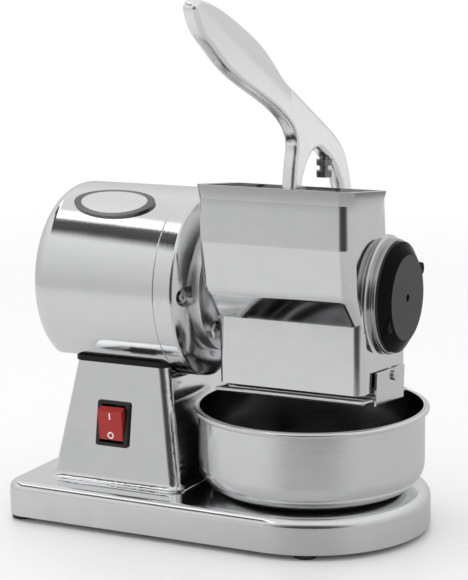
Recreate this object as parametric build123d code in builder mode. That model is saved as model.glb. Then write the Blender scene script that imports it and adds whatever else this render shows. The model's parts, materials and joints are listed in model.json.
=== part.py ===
from build123d import *
from math import atan2, cos, degrees, radians, sin, sqrt, tan

# Electric grater for hard cheese and dry bread, in millimetres.
# The origin lies on the bench under the bowl's axis. X runs along the motor axis towards the
# cap, Y runs away from the user and Z points up.

# Base casting, on its feet
foot_stand = 4.0
base_height = 24.0
base_half_width = 81.5
base_reach = 200.0
base_corner_r = 15.0
base_edge_r = 6.5
base_wall = 4.0
foot_r = 8.5
foot_taper = 0.8
foot_rear_set = 9.5
foot_rear_side = 12.5
foot_front_inset = 10.93
foot_front_angle = 69.25
plate_t = 1.5
foot_boss_r = 7.0
foot_screw_r = 2.0
foot_screw_head_r = 4.0
foot_screw_head_t = 2.2
foot_screw_bite = 9.0

# Pedestal, cast with the base
pedestal_height = 82.0
pedestal_margin = 24.5
pedestal_batter = 14.5
pedestal_side = 25.8
pedestal_head_y = 42.0
seam_room = 2.8
bowl_room = 0.5
pedestal_corner_r = 7.0
pedestal_root_r = 5.5
pedestal_wall = 4.0
pedestal_head_t = 6.0
lead_hole_r = 9.0

# Gasket and motor bolts
gasket_t = 4.0
gasket_lip = 1.2
motor_bolt_inset_x = 11.0
motor_bolt_inset_y = 10.0
motor_bolt_r = 3.0
motor_bolt_head_af = 10.0
motor_bolt_head_t = 4.0
motor_bolt_bite = 9.0
motor_boss_r = 5.5

# Motor housing and end shield
axis_z = 164.0
motor_r = 65.0
motor_wall = 4.5
housing_set = 16.5
housing_edge_r = 12.6
housing_end_t = 6.0
rib_w = 12.0
rib_bite = 1.0
shield_rim_w = 13.8
shield_rim_r = 3.0
shield_face_w = 6.6
seam_chamfer = 0.5
shield_plate_t = 7.6
shield_hub_r = 25.0
shield_screw_inset = 10.0
shield_screw_r = 2.5
shield_screw_head_r = 4.2
shield_screw_head_t = 4.7
shield_seat = 13.6
shield_pocket_r = 6.7
shield_screw_bite = 12.0
badge_shift = 2.85
badge_angle = 120.0
badge_margin = 35.3
badge_width = 29.0
badge_t = 1.2
badge_dome = 0.6

# Motor inside
stator_r = 45.0
stator_set = 26.5
stator_room = 24.8
winding_in_r = 29.0
winding_out_r = 42.0
winding_length = 9.0
air_gap = 0.5
rotor_r = 26.0
rotor_ring_in_r = 13.0
rotor_ring_out_r = 24.0
rotor_ring_length = 7.0
shaft_core_r = 9.0
rear_bearing_r = 16.0
rear_bearing_bore_r = 6.0
rear_bearing_w = 10.0
rear_hub_r = 21.0
spring_t = 2.0
spring_in_r = 11.5
front_bearing_r = 20.0
front_bearing_bore_r = 8.5
front_bearing_w = 12.0
shaft_nose_r = 7.0
shaft_thread_r = 5.0
capacitor_r = 16.0
capacitor_height = 52.0
capacitor_shift = 1.0
capacitor_side = 37.7
capacitor_stud_r = 4.0
capacitor_nut_af = 12.0
capacitor_nut_t = 3.0
terminal_shift = 1.0
terminal_y = -12.0
terminal_l = 18.0
terminal_w = 36.0
terminal_h = 17.0

# Switch and cord inlet
switch_shift = -2.5
switch_z = 69.0
switch_bezel_w = 25.5
switch_bezel_h = 31.7
switch_bezel_t = 2.0
switch_bezel_r = 2.0
switch_case_w = 21.5
switch_case_h = 28.0
switch_case_d = 24.0
switch_pocket_d = 9.0
rocker_w = 18.6
rocker_h = 24.6
rocker_face_n = 5.2
rocker_back_n = 0.2
rocker_bevel = 2.0
rocker_edge_r = 0.6
rocker_hub_r = 3.2
rocker_pivot_r = 1.2
rocker_pivot_l = 0.8
rocker_tilt = 14.0
tab_w = 6.3
tab_t = 0.8
tab_l = 8.0
gland_inset = 11.0
gland_z = 52.0
gland_bore_r = 3.75
gland_neck_r = 7.5
gland_flange_r = 11.0
gland_flange_t = 5.0
gland_neck_l = 14.0
gland_nut_af = 20.0
gland_nut_t = 5.0

# Hopper casting: feed shaft, drum housing, outlet chute, flange and hinge ears
hopper_half = 55.0
hopper_wall = 4.0
hopper_corner_r = 8.5
hopper_front = -61.0
hopper_bend_z = 200.0
bend_rise = 3.0
bend_round = 20.0
belly_lean = 7.0
knee_share = 0.61
knee_round = 14.0
rim_front_z = 241.0
rim_rear_z = 234.0
shaft_rear = 2.0
shaft_rear_low = 5.0
lip_height = 9.0
lip_flare = 1.6
lip_inset = 0.4
chute_front = -41.0
chute_rear = 36.5
chute_step = 4.5
chute_bottom = 104.5
crease_z = 150.0
chute_corner_r = 7.0
left_bevel_z = 197.0
drum_bore_r = 33.5
drum_housing_r = 37.4
collar_length = 7.0
collar_foot_r = 41.0
collar_bead = 1.1
flange_r = 46.2
flange_t = 4.8
neck_root_r = 43.0
neck_round = 9.0
neck_gap = 6.0
hopper_bolt_circle = 38.0
hopper_bolt_r = 3.0
hopper_bolt_head_af = 10.0
hopper_bolt_head_t = 4.0
bolt_pocket_r = 6.8
hopper_bolt_bite = 4.4
seal_r = 14.0
seal_w = 7.0

# Lever hinge and stop
pivot_y = 50.0
pivot_z = 204.0
pin_r = 5.0
ear_r = 11.0
ear_t = 7.0
pin_head_r = 8.0
pin_head_t = 3.0
pin_tail = 4.0
clip_t = 1.2
clip_groove_r = 4.0
clip_r = 8.0
close_angle = 20.0

# Lever arm with its grip
arm_half = 5.2
arm_edge_r = 3.4
grip_top_way = (1, -0.15)
grip_under_way = (-0.35, 1)
leg_way = (0.2, 1)
grip_neck = (-42.0, 293.4)
grip_tip = (-168.0, 361.6)
grip_lens_half = 20.0
grip_edge_half = 1.6
grip_end = [(-169.3, 359.5), (-167.3, 363.7), (-162.0, 364.9)]
arm_top = [
    (-130.0, 356.0),
    (-100.0, 343.5),
    (-70.0, 327.0),
    (-50.0, 310.8),
    (-30.0, 299.5),
    (0.0, 283.6),
    (30.0, 267.3),
    (43.5, 257.5),
    (53.5, 244.0),
    (58.8, 230.5),
]
arm_arch = [(44.2, 224.5), (36.5, 238.0), (17.0, 254.0), (0.5, 259.6), (-17.0, 249.0), (-23.5, 236.0)]
arm_leg = [
    (-36.0, 238.0),
    (-32.3, 256.0),
    (-30.6, 265.0),
    (-33.5, 272.5),
    (-43.2, 281.6),
    (-70.5, 296.3),
    (-100.0, 308.5),
    (-128.0, 322.0),
    (-150.0, 337.0),
    (-165.5, 351.0),
]
stop_y = 22.5
stop_head_z = 238.0
stop_bolt_r = 3.0
stop_head_af = 10.0
stop_head_t = 4.5
stop_nut_t = 4.0
stop_shank = 3.5
stop_bite = 9.0
stop_lip = 4.0

# Presser pad, as it lies with the lever at rest
pad_side_gap = 2.0
pad_front = -46.0
pad_rear = -9.0
pad_top = 224.0
pad_nose_z = 212.0
pad_arc_y = -38.5
pad_drum_gap = 2.5
pad_corner_r = 3.0
pad_foot_x = 15.0
pad_foot_front = -43.0
pad_foot_rear = -20.0
pad_foot_t = 5.0
pad_screw_x = 9.5
pad_screw_y = -31.0
pad_screw_r = 2.0
pad_screw_head_r = 4.0
pad_screw_head_t = 2.5
pad_screw_seat = 7.0
pad_screw_bite = 4.0

# Grating drum
sleeve_r = 32.0
sleeve_t = 1.5
drum_end_gap = 1.5
drum_right_set = 4.0
drum_inner_t = 14.0
drum_outer_t = 6.0
drum_hub_r = 14.0
drum_pin_x = 10.0
drive_pin_r = 2.5
drum_nut_af = 17.0
drum_nut_t = 9.0
hole_r = 1.6
hole_rows = 9
hole_columns = 14

# Screw cap
cap_seal_t = 1.5
cap_seal_w = 3.0
cap_t = 6.5
cap_r = 36.9
cap_face_r = 28.8
cap_spigot_l = 6.0
cap_spigot_wall = 5.0
cap_hole_r = 2.5
cap_rim_w = 1.2
cap_plate_t = 4.5
peg_circle = 31.5
peg_angle = 28.0
peg_r = 4.6
peg_set = 0.9
peg_taper = 3.0

# Outlet guard
guard_rod_r = 1.5
guard_front_y = -41.0
guard_front_z = 100.0
guard_depth = 74.0
guard_tilt = 5.0
guard_bars = 6
guard_plate_t = 1.5
guard_standoff = 1.2
guard_weld = 0.3
guard_plate_y = -24.0
guard_plate_l = 49.0
guard_plate_low = 4.0
guard_plate_h = 22.0
guard_screw_y = 6.0
guard_screw_z = 109.5
guard_screw_r = 2.5
guard_screw_head_r = 3.6
guard_screw_head_t = 1.8
guard_boss_r = 5.0
guard_screw_bite = 5.0

# Bowl
bowl_side = 4.1
bowl_height = 57.0
bowl_corner_r = 19.0
bowl_t = 1.0
bowl_bead_r = 1.8

# Clearances
joint_gap = 0.3
running_gap = 0.06
fit_gap = 0.05
screw_gap = 0.25

# Levels and stations that follow from the sizes
base_bottom = foot_stand
base_top = base_bottom + base_height
plate_bottom = base_bottom
bowl_r = base_half_width - bowl_side
pedestal_foot_y = base_half_width - pedestal_side
capacitor_y = pedestal_foot_y - capacitor_side
plate_top = plate_bottom + plate_t
pedestal_top = base_top + pedestal_height
housing_flat = pedestal_top + gasket_t
flange_front = -(hopper_half + neck_gap)
shield_front = flange_front - flange_t
seam_x = shield_front - shield_face_w - shield_rim_w
housing_rear = housing_set - base_reach
head_seat = seam_x + shield_seat
shield_screw_circle = motor_r - shield_screw_inset
badge_x = (housing_rear + seam_x) / 2 + badge_shift
badge_length = seam_x - housing_rear - badge_margin
stator_x = housing_rear + stator_set
stator_length = seam_x - stator_x - stator_room
rib_outer = motor_r - motor_wall / 2
rib_inner = stator_r - rib_bite
chute_left = chute_step - hopper_half
collar_end = hopper_half + collar_length
drum_left = chute_left + hopper_wall + drum_end_gap
drum_right = hopper_half - drum_right_set
pad_half = hopper_half - hopper_wall - pad_side_gap
cap_back = collar_end + cap_seal_t
cap_front = cap_back + cap_t
cap_spigot_r = drum_bore_r - joint_gap
housing_floor = housing_rear + housing_end_t
rear_bearing_x = housing_floor + spring_t
rear_hub_end = rear_bearing_x + rear_bearing_w
front_bearing_x = seam_x + fit_gap
front_bearing_end = front_bearing_x + front_bearing_w
stop_u = stop_y - pivot_y
stop_v = stop_head_z - pivot_z - joint_gap
stop_land_y = pivot_y + stop_u * cos(radians(close_angle)) - stop_v * sin(radians(close_angle))
stop_land_z = pivot_z + stop_u * sin(radians(close_angle)) + stop_v * cos(radians(close_angle))
drum_u = -pivot_y
drum_v = axis_z - pivot_z
pad_arc_cy = pivot_y + drum_u * cos(radians(close_angle)) + drum_v * sin(radians(close_angle))
pad_arc_cz = pivot_z - drum_u * sin(radians(close_angle)) + drum_v * cos(radians(close_angle))
pedestal_slope = degrees(atan2(pedestal_foot_y - pedestal_head_y, pedestal_height))
pedestal_left = pedestal_margin - base_reach
pedestal_head_left = pedestal_left + pedestal_batter
pedestal_head_right = seam_x - seam_room
bowl_share = (bowl_corner_r + joint_gap) / pedestal_height
pedestal_right = -(bowl_r + bowl_room + pedestal_head_right * bowl_share) / (1 - bowl_share)
pedestal_x = (pedestal_head_left + pedestal_head_right) / 2
pedestal_head_x = (pedestal_head_right - pedestal_head_left) / 2
motor_bolt_x = pedestal_head_x - motor_bolt_inset_x
motor_bolt_y = pedestal_head_y - motor_bolt_inset_y
switch_x = pedestal_x + switch_shift
gland_x = pedestal_x - pedestal_head_x + gland_inset
capacitor_x = pedestal_x - pedestal_head_x / 2 + capacitor_shift
terminal_x = pedestal_x + pedestal_head_x / 2 - terminal_shift
foot_rear_x = foot_rear_set - base_reach
foot_rear_y = base_half_width - foot_rear_side
foot_front_x = (base_half_width - foot_front_inset) * cos(radians(foot_front_angle))
foot_front_y = (base_half_width - foot_front_inset) * sin(radians(foot_front_angle))
foot_points = [
    (foot_rear_x, -foot_rear_y),
    (foot_rear_x, foot_rear_y),
    (foot_front_x, -foot_front_y),
    (foot_front_x, foot_front_y),
]
motor_bolt_points = [
    (pedestal_x - motor_bolt_x, -motor_bolt_y),
    (pedestal_x - motor_bolt_x, motor_bolt_y),
    (pedestal_x + motor_bolt_x, -motor_bolt_y),
    (pedestal_x + motor_bolt_x, motor_bolt_y),
]

# Axes and planes of the assembly
motor_axis = Axis((0, 0, axis_z), (1, 0, 0))
radial_plane = Plane(origin=(0, 0, axis_z), x_dir=(1, 0, 0), z_dir=(0, -1, 0))


def pedestal_half_y(z):
    share = (z - base_top) / pedestal_height
    return pedestal_foot_y + (pedestal_head_y - pedestal_foot_y) * share


switch_plane = Plane(
    origin=(switch_x, -pedestal_half_y(switch_z), switch_z),
    x_dir=(1, 0, 0),
    z_dir=(0, -cos(radians(pedestal_slope)), sin(radians(pedestal_slope))),
)
rocker_plane = switch_plane.rotated((rocker_tilt, 0, 0))
rocker_side = Plane(
    origin=rocker_plane.origin,
    x_dir=rocker_plane.y_dir,
    z_dir=rocker_plane.x_dir,
)
gland_plane = Plane(
    origin=(gland_x, pedestal_half_y(gland_z), gland_z),
    x_dir=(-1, 0, 0),
    z_dir=(0, cos(radians(pedestal_slope)), sin(radians(pedestal_slope))),
)
guard_plane = Plane(
    origin=(0, guard_front_y, guard_front_z),
    x_dir=(1, 0, 0),
    z_dir=(0, sin(radians(guard_tilt)), cos(radians(guard_tilt))),
)
rim_tilt = degrees(atan2(rim_front_z - rim_rear_z, shaft_rear - hopper_front))
rim_plane = Plane(
    origin=(0, (hopper_front + shaft_rear) / 2, (rim_front_z + rim_rear_z) / 2),
    x_dir=(1, 0, 0),
    z_dir=(0, sin(radians(rim_tilt)), cos(radians(rim_tilt))),
)


def base_plan(z, inset):
    """Outline of the base, with its left corners and its round end."""
    with BuildSketch(Plane.XY.offset(z)) as plan:
        with Locations((-base_reach + inset, 0)):
            Rectangle(
                base_reach - inset,
                2 * (base_half_width - inset),
                align=(Align.MIN, Align.CENTER),
            )
        fillet(plan.vertices().group_by(Axis.X)[0], base_corner_r - inset)
        Circle(base_half_width - inset)
    return plan.sketch


def pedestal_plan(z, inset):
    """Outline of the tapered pedestal at a height."""
    share = (z - base_top) / pedestal_height
    left = pedestal_left + (pedestal_head_left - pedestal_left) * share + inset
    right = pedestal_right + (pedestal_head_right - pedestal_right) * share - inset
    half_y = pedestal_half_y(z) - inset
    with BuildSketch(Plane.XY.offset(z)) as plan:
        with Locations(((left + right) / 2, 0)):
            RectangleRounded(right - left, 2 * half_y, pedestal_corner_r - 0.6 * inset)
    return plan.sketch


def discs(x, points, radius):
    """Circles on a plane across the motor axis, at points given from the axis."""
    with BuildSketch(Plane.YZ.offset(x)) as spots:
        with Locations(*[(y, axis_z + z) for y, z in points]):
            Circle(radius)
    return spots.sketch


def ring_points(radius, angles):
    """Points on a circle about the motor axis."""
    return [(radius * cos(radians(a)), radius * sin(radians(a))) for a in angles]


shield_screw_angles = [0, 90, 180]
shield_screw_points = ring_points(shield_screw_circle, shield_screw_angles)
hopper_bolt_points = ring_points(hopper_bolt_circle, [45, 135, 225, 315])


# Base casting with its pedestal, hollow from below
with BuildPart() as base_casting:
    extrude(base_plan(base_bottom, 0), amount=base_height)
    fillet(base_casting.faces().sort_by(Axis.Z)[-1].edges(), base_edge_r)
    loft(sections=[pedestal_plan(base_top, 0).face(), pedestal_plan(pedestal_top, 0).face()])
    top_face = base_casting.faces().filter_by_position(Axis.Z, base_top - 0.01, base_top + 0.01)[0]
    fillet(top_face.inner_wires()[0].edges(), pedestal_root_r)
    extrude(base_plan(base_bottom, base_wall), amount=base_height - base_wall, mode=Mode.SUBTRACT)
    loft(
        sections=[
            pedestal_plan(base_top - base_wall - 1, pedestal_wall).face(),
            pedestal_plan(pedestal_top - pedestal_head_t, pedestal_wall).face(),
        ],
        mode=Mode.SUBTRACT,
    )
    with BuildSketch(Plane.XY.offset(plate_top)):
        with Locations(*foot_points):
            Circle(foot_boss_r)
    extrude(amount=base_top - base_wall - plate_top + 0.5)
    with BuildSketch(Plane.XY.offset(plate_top)):
        with Locations(*foot_points):
            Circle(foot_screw_r + fit_gap)
    extrude(amount=foot_screw_bite + 1, mode=Mode.SUBTRACT)
    with BuildSketch(Plane.XY.offset(pedestal_top)):
        with Locations((pedestal_x, 0)):
            Circle(lead_hole_r)
        with Locations(*motor_bolt_points):
            Circle(motor_bolt_r + screw_gap)
    extrude(amount=-pedestal_head_t - 1, mode=Mode.SUBTRACT)
    with BuildSketch(switch_plane.offset(1)):
        Rectangle(switch_case_w + 2 * screw_gap, switch_case_h + 2 * screw_gap)
    extrude(amount=-pedestal_wall - 4, mode=Mode.SUBTRACT)
    with BuildSketch(gland_plane.offset(1)):
        Circle(gland_neck_r + screw_gap)
    extrude(amount=-pedestal_wall - 4, mode=Mode.SUBTRACT)

# Sheet plate that closes the base from below
with BuildPart() as bottom_plate:
    extrude(base_plan(plate_bottom, base_wall + joint_gap), amount=plate_t)
    with BuildSketch(Plane.XY.offset(plate_bottom)):
        with Locations(*foot_points):
            Circle(foot_screw_r + screw_gap)
        with Locations((capacitor_x, capacitor_y)):
            Circle(capacitor_stud_r + screw_gap)
    extrude(amount=plate_t, mode=Mode.SUBTRACT)

# Four rubber feet under the plate, each with a sunk screw
with BuildPart() as rubber_feet:
    with BuildSketch(Plane.XY):
        with Locations(*foot_points):
            Circle(foot_r - foot_taper)
    extrude(amount=plate_bottom, taper=-degrees(atan2(foot_taper, plate_bottom)))
    with BuildSketch(Plane.XY):
        with Locations(*foot_points):
            Circle(foot_screw_r + screw_gap)
    extrude(amount=plate_bottom, mode=Mode.SUBTRACT)
    with BuildSketch(Plane.XY):
        with Locations(*foot_points):
            Circle(foot_screw_head_r + screw_gap)
    extrude(amount=foot_screw_head_t + 0.8, mode=Mode.SUBTRACT)

# Screws through the feet and the plate into the casting's bosses
with BuildPart() as foot_screws:
    with BuildSketch(Plane.XY.offset(0.8)):
        with Locations(*foot_points):
            Circle(foot_screw_head_r)
    extrude(amount=foot_screw_head_t)
    with BuildSketch(Plane.XY.offset(0.8)):
        with Locations(*foot_points):
            Circle(foot_screw_r)
    extrude(amount=plate_top + foot_screw_bite - 0.8)

# Gasket between pedestal and motor
with BuildPart() as motor_gasket:
    extrude(pedestal_plan(pedestal_top, -gasket_lip), amount=gasket_t)
    with BuildSketch(Plane.XY.offset(pedestal_top)):
        with Locations((pedestal_x, 0)):
            Circle(lead_hole_r)
        with Locations(*motor_bolt_points):
            Circle(motor_bolt_r + screw_gap)
    extrude(amount=gasket_t, mode=Mode.SUBTRACT)

# Motor bolts, from inside the pedestal up into the motor's foot
with BuildPart() as motor_bolts:
    with BuildSketch(Plane.XY.offset(pedestal_top - pedestal_head_t)):
        with Locations(*motor_bolt_points):
            RegularPolygon(motor_bolt_head_af / 2, 6, major_radius=False)
    extrude(amount=-motor_bolt_head_t)
    with BuildSketch(Plane.XY.offset(pedestal_top - pedestal_head_t)):
        with Locations(*motor_bolt_points):
            Circle(motor_bolt_r)
    extrude(amount=pedestal_head_t + gasket_t + motor_bolt_bite)

# Motor housing: a cup with a rounded closed end and a flat foot
with BuildPart() as motor_housing:
    extrude(discs(housing_rear, [(0, 0)], motor_r), amount=seam_x - housing_rear)
    fillet(motor_housing.faces().sort_by(Axis.X)[0].edges(), housing_edge_r)
    chamfer(motor_housing.faces().sort_by(Axis.X)[-1].edges(), seam_chamfer)
    with BuildSketch(Plane.YZ.offset(housing_floor)) as housing_bore:
        with Locations((0, axis_z)):
            Circle(motor_r - motor_wall)
        with Locations((0, housing_flat + motor_wall)):
            Rectangle(
                2 * motor_r, motor_r, align=(Align.CENTER, Align.MAX), mode=Mode.SUBTRACT
            )
    extrude(amount=seam_x - housing_floor, mode=Mode.SUBTRACT)
    with BuildSketch(Plane.YZ.offset(housing_floor)):
        with Locations((0, axis_z)):
            Circle(rear_hub_r)
            Circle(rear_bearing_r + fit_gap, mode=Mode.SUBTRACT)
    extrude(amount=rear_hub_end - housing_floor)
    with BuildSketch(Plane.YZ.offset(stator_x)):
        for y, z in ring_points((rib_inner + rib_outer) / 2, shield_screw_angles):
            with Locations(Location((y, axis_z + z, 0), (0, 0, degrees(atan2(z, y))))):
                Rectangle(rib_outer - rib_inner, rib_w)
    extrude(amount=seam_x - stator_x)
    with BuildSketch(Plane.XY.offset(housing_flat)):
        with Locations(*motor_bolt_points):
            Circle(motor_boss_r)
    extrude(amount=motor_bolt_bite + 2)
    extrude(
        discs(stator_x, [(0, 0)], stator_r + fit_gap),
        amount=seam_x - stator_x,
        mode=Mode.SUBTRACT,
    )
    with BuildSketch(Plane.XY.offset(housing_flat)):
        with Locations((pedestal_x, 0)):
            Rectangle(4 * motor_r, 4 * motor_r)
    extrude(amount=-2 * motor_r, mode=Mode.SUBTRACT)
    with BuildSketch(Plane.XY.offset(housing_flat)):
        with Locations((pedestal_x, 0)):
            Circle(lead_hole_r)
    extrude(amount=motor_wall + 1, mode=Mode.SUBTRACT)
    with BuildSketch(Plane.XY.offset(housing_flat)):
        with Locations(*motor_bolt_points):
            Circle(motor_bolt_r + fit_gap)
    extrude(amount=motor_bolt_bite + 0.5, mode=Mode.SUBTRACT)
    extrude(
        discs(seam_x, shield_screw_points, shield_screw_r + fit_gap),
        amount=-shield_screw_bite - 1,
        mode=Mode.SUBTRACT,
    )

# End shield with its domed face, the seat for the front bearing and a pocket for each screw
with BuildPart() as front_shield:
    with BuildSketch(radial_plane):
        with BuildLine():
            TangentArc(
                (shield_front, flange_r + 0.6), (seam_x + shield_rim_w, motor_r), tangent=(0, 1)
            )
            Polyline(
                (seam_x + shield_rim_w, motor_r),
                (seam_x + seam_chamfer, motor_r),
                (seam_x, motor_r - seam_chamfer),
                (seam_x, motor_r - motor_wall),
                (shield_front - shield_plate_t, motor_r - motor_wall),
                (shield_front - shield_plate_t, shield_hub_r),
                (seam_x, shield_hub_r),
                (seam_x, front_bearing_r + fit_gap),
                (front_bearing_end, front_bearing_r + fit_gap),
                (front_bearing_end, shaft_core_r),
                (shield_front, shaft_core_r),
                (shield_front, flange_r + 0.6),
            )
        make_face()
    revolve(axis=motor_axis)
    rim_edge = front_shield.edges().filter_by(GeomType.CIRCLE).filter_by_position(
        Axis.X, seam_x + shield_rim_w - 0.01, seam_x + shield_rim_w + 0.01
    )
    fillet(rim_edge, shield_rim_r)
    extrude(discs(seam_x, shield_screw_points, 7.0), amount=shield_front - shield_plate_t - seam_x + 0.5)
    extrude(
        discs(seam_x, shield_screw_points, shield_screw_r + screw_gap),
        amount=shield_rim_w + shield_face_w,
        mode=Mode.SUBTRACT,
    )
    with BuildSketch(Plane.YZ.offset(shield_front)):
        for y, z in shield_screw_points:
            with Locations(Location((y, axis_z + z, 0), (0, 0, degrees(atan2(z, y))))):
                Circle(shield_pocket_r)
                Rectangle(
                    shield_screw_circle - flange_r,
                    2 * shield_pocket_r,
                    align=(Align.MAX, Align.CENTER),
                )
    extrude(amount=head_seat - shield_front, mode=Mode.SUBTRACT)
    extrude(
        discs(shield_front, hopper_bolt_points, hopper_bolt_r + fit_gap),
        amount=-hopper_bolt_bite - 0.3,
        mode=Mode.SUBTRACT,
    )

# Socket screws of the shield
with BuildPart() as shield_screws:
    extrude(discs(head_seat, shield_screw_points, shield_screw_head_r), amount=shield_screw_head_t)
    extrude(
        discs(seam_x - shield_screw_bite, shield_screw_points, shield_screw_r),
        amount=head_seat - seam_x + shield_screw_bite,
    )
    with BuildSketch(Plane.YZ.offset(head_seat + shield_screw_head_t)):
        with Locations(*[(y, axis_z + z) for y, z in shield_screw_points]):
            RegularPolygon(shield_screw_r * 0.85, 6)
    extrude(amount=-shield_screw_head_t / 2, mode=Mode.SUBTRACT)

# Oval badge, curved to the motor
with BuildPart() as badge_plate:
    badge_face = Plane(
        origin=(badge_x, 0, axis_z),
        x_dir=(1, 0, 0),
        z_dir=(0, cos(radians(badge_angle)), sin(radians(badge_angle))),
    )
    with BuildSketch(badge_face):
        Ellipse(badge_length / 2, badge_width / 2)
    extrude(amount=2 * motor_r)
    with BuildSketch(Plane.YZ.offset(badge_x)):
        with Locations((0, axis_z)):
            Circle(motor_r + badge_t + badge_dome)
            Circle(motor_r + fit_gap, mode=Mode.SUBTRACT)
    extrude(amount=badge_length, both=True, mode=Mode.INTERSECT)

# Stator laminations
with BuildPart() as stator_core:
    with BuildSketch(Plane.YZ.offset(stator_x)):
        with Locations((0, axis_z)):
            Circle(stator_r)
            Circle(rotor_r + air_gap, mode=Mode.SUBTRACT)
    extrude(amount=stator_length)

# End turns of the windings
with BuildPart() as stator_windings:
    with BuildSketch(Plane.YZ.offset(stator_x - winding_length)) as end_turns:
        with Locations((0, axis_z)):
            Circle(winding_out_r)
            Circle(winding_in_r, mode=Mode.SUBTRACT)
    extrude(amount=winding_length)
    far_turns = end_turns.sketch.moved(Location((winding_length + stator_length, 0, 0)))
    extrude(far_turns, amount=winding_length)

# Rotor laminations on the shaft
with BuildPart() as rotor_core:
    with BuildSketch(Plane.YZ.offset(stator_x)):
        with Locations((0, axis_z)):
            Circle(rotor_r)
            Circle(shaft_core_r + fit_gap, mode=Mode.SUBTRACT)
    extrude(amount=stator_length)

# Short-circuit rings of the rotor
with BuildPart() as rotor_end_rings:
    with BuildSketch(Plane.YZ.offset(stator_x - rotor_ring_length)) as end_rings:
        with Locations((0, axis_z)):
            Circle(rotor_ring_out_r)
            Circle(rotor_ring_in_r, mode=Mode.SUBTRACT)
    extrude(amount=rotor_ring_length)
    far_ring = end_rings.sketch.moved(Location((rotor_ring_length + stator_length, 0, 0)))
    extrude(far_ring, amount=rotor_ring_length)

# Motor shaft, which carries the drum on its nose
with BuildPart() as motor_shaft:
    with BuildSketch(radial_plane):
        with BuildLine():
            Polyline(
                (rear_bearing_x - 0.5, 0),
                (rear_bearing_x - 0.5, rear_bearing_bore_r - running_gap),
                (rear_hub_end + 0.5, rear_bearing_bore_r - running_gap),
                (rear_hub_end + 0.5, shaft_core_r),
                (seam_x - 0.5, shaft_core_r),
                (seam_x - 0.5, front_bearing_bore_r - running_gap),
                (front_bearing_end + 0.5, front_bearing_bore_r - running_gap),
                (front_bearing_end + 0.5, shaft_nose_r),
                (drum_right, shaft_nose_r),
                (drum_right, shaft_thread_r),
                (drum_right + drum_nut_t - 2, shaft_thread_r),
                (drum_right + drum_nut_t - 2, 0),
                close=True,
            )
        make_face()
    revolve(axis=motor_axis)
    with BuildSketch(Plane.XY.offset(axis_z)):
        with Locations((drum_left + drum_pin_x, 0)):
            Circle(drive_pin_r + fit_gap)
    extrude(amount=2 * shaft_nose_r, both=True, mode=Mode.SUBTRACT)

# Ball bearings, each as one ring
with BuildPart() as front_bearing:
    with BuildSketch(Plane.YZ.offset(front_bearing_x)):
        with Locations((0, axis_z)):
            Circle(front_bearing_r)
            Circle(front_bearing_bore_r, mode=Mode.SUBTRACT)
    extrude(amount=front_bearing_w)

with BuildPart() as rear_bearing:
    with BuildSketch(Plane.YZ.offset(rear_bearing_x)):
        with Locations((0, axis_z)):
            Circle(rear_bearing_r)
            Circle(rear_bearing_bore_r, mode=Mode.SUBTRACT)
    extrude(amount=rear_bearing_w)

# Spring washer behind the rear bearing
with BuildPart() as bearing_spring:
    with BuildSketch(Plane.YZ.offset(housing_floor)):
        with Locations((0, axis_z)):
            Circle(rear_bearing_r - joint_gap)
            Circle(spring_in_r, mode=Mode.SUBTRACT)
    extrude(amount=spring_t)

# Run capacitor, standing on the bottom plate
with BuildPart() as capacitor:
    with BuildSketch(Plane.XY.offset(plate_top)):
        with Locations((capacitor_x, capacitor_y)):
            Circle(capacitor_r)
    extrude(amount=capacitor_height)
    fillet(capacitor.faces().sort_by(Axis.Z)[-1].edges(), 2)
    with BuildSketch(Plane.XY.offset(plate_top)):
        with Locations((capacitor_x, capacitor_y)):
            Circle(capacitor_stud_r)
    extrude(amount=-plate_t - capacitor_nut_t)

with BuildPart() as capacitor_nut:
    with BuildSketch(Plane.XY.offset(plate_bottom)):
        with Locations((capacitor_x, capacitor_y)):
            RegularPolygon(capacitor_nut_af / 2, 6, major_radius=False)
            Circle(capacitor_stud_r + fit_gap, mode=Mode.SUBTRACT)
    extrude(amount=-capacitor_nut_t)

# Mains terminal block
with BuildPart() as terminal_block:
    with Locations((terminal_x, terminal_y, plate_top)):
        Box(terminal_l, terminal_w, terminal_h, align=(Align.CENTER, Align.CENTER, Align.MIN))
    with BuildSketch(Plane.XY.offset(plate_top + terminal_h)):
        with Locations((terminal_x, terminal_y)):
            with GridLocations(terminal_l / 2, terminal_w / 3, 2, 3):
                Circle(2.4)
    extrude(amount=-terminal_h / 2, mode=Mode.SUBTRACT)

# Rocker switch: bezel and case with a pocket for the rocker
with BuildPart() as switch_body:
    with BuildSketch(switch_plane):
        RectangleRounded(switch_bezel_w, switch_bezel_h, switch_bezel_r)
    extrude(amount=switch_bezel_t)
    fillet(switch_body.faces().sort_by(Axis.Y)[0].edges(), 0.7)
    with BuildSketch(switch_plane):
        Rectangle(switch_case_w, switch_case_h)
    extrude(amount=-switch_case_d)
    with BuildSketch(switch_plane.offset(switch_bezel_t)):
        Rectangle(rocker_w + 2 * joint_gap, rocker_h + 2.0)
    extrude(amount=-switch_bezel_t - switch_pocket_d, mode=Mode.SUBTRACT)
    with BuildSketch(rocker_side):
        Circle(rocker_pivot_r + running_gap)
    extrude(
        amount=rocker_w / 2 + 2 * joint_gap + rocker_pivot_l, both=True, mode=Mode.SUBTRACT
    )
    with BuildSketch(switch_plane.offset(-switch_case_d)):
        with GridLocations(0, switch_case_h / 3, 1, 3):
            Rectangle(tab_w, tab_t)
    extrude(amount=-tab_l)

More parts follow.
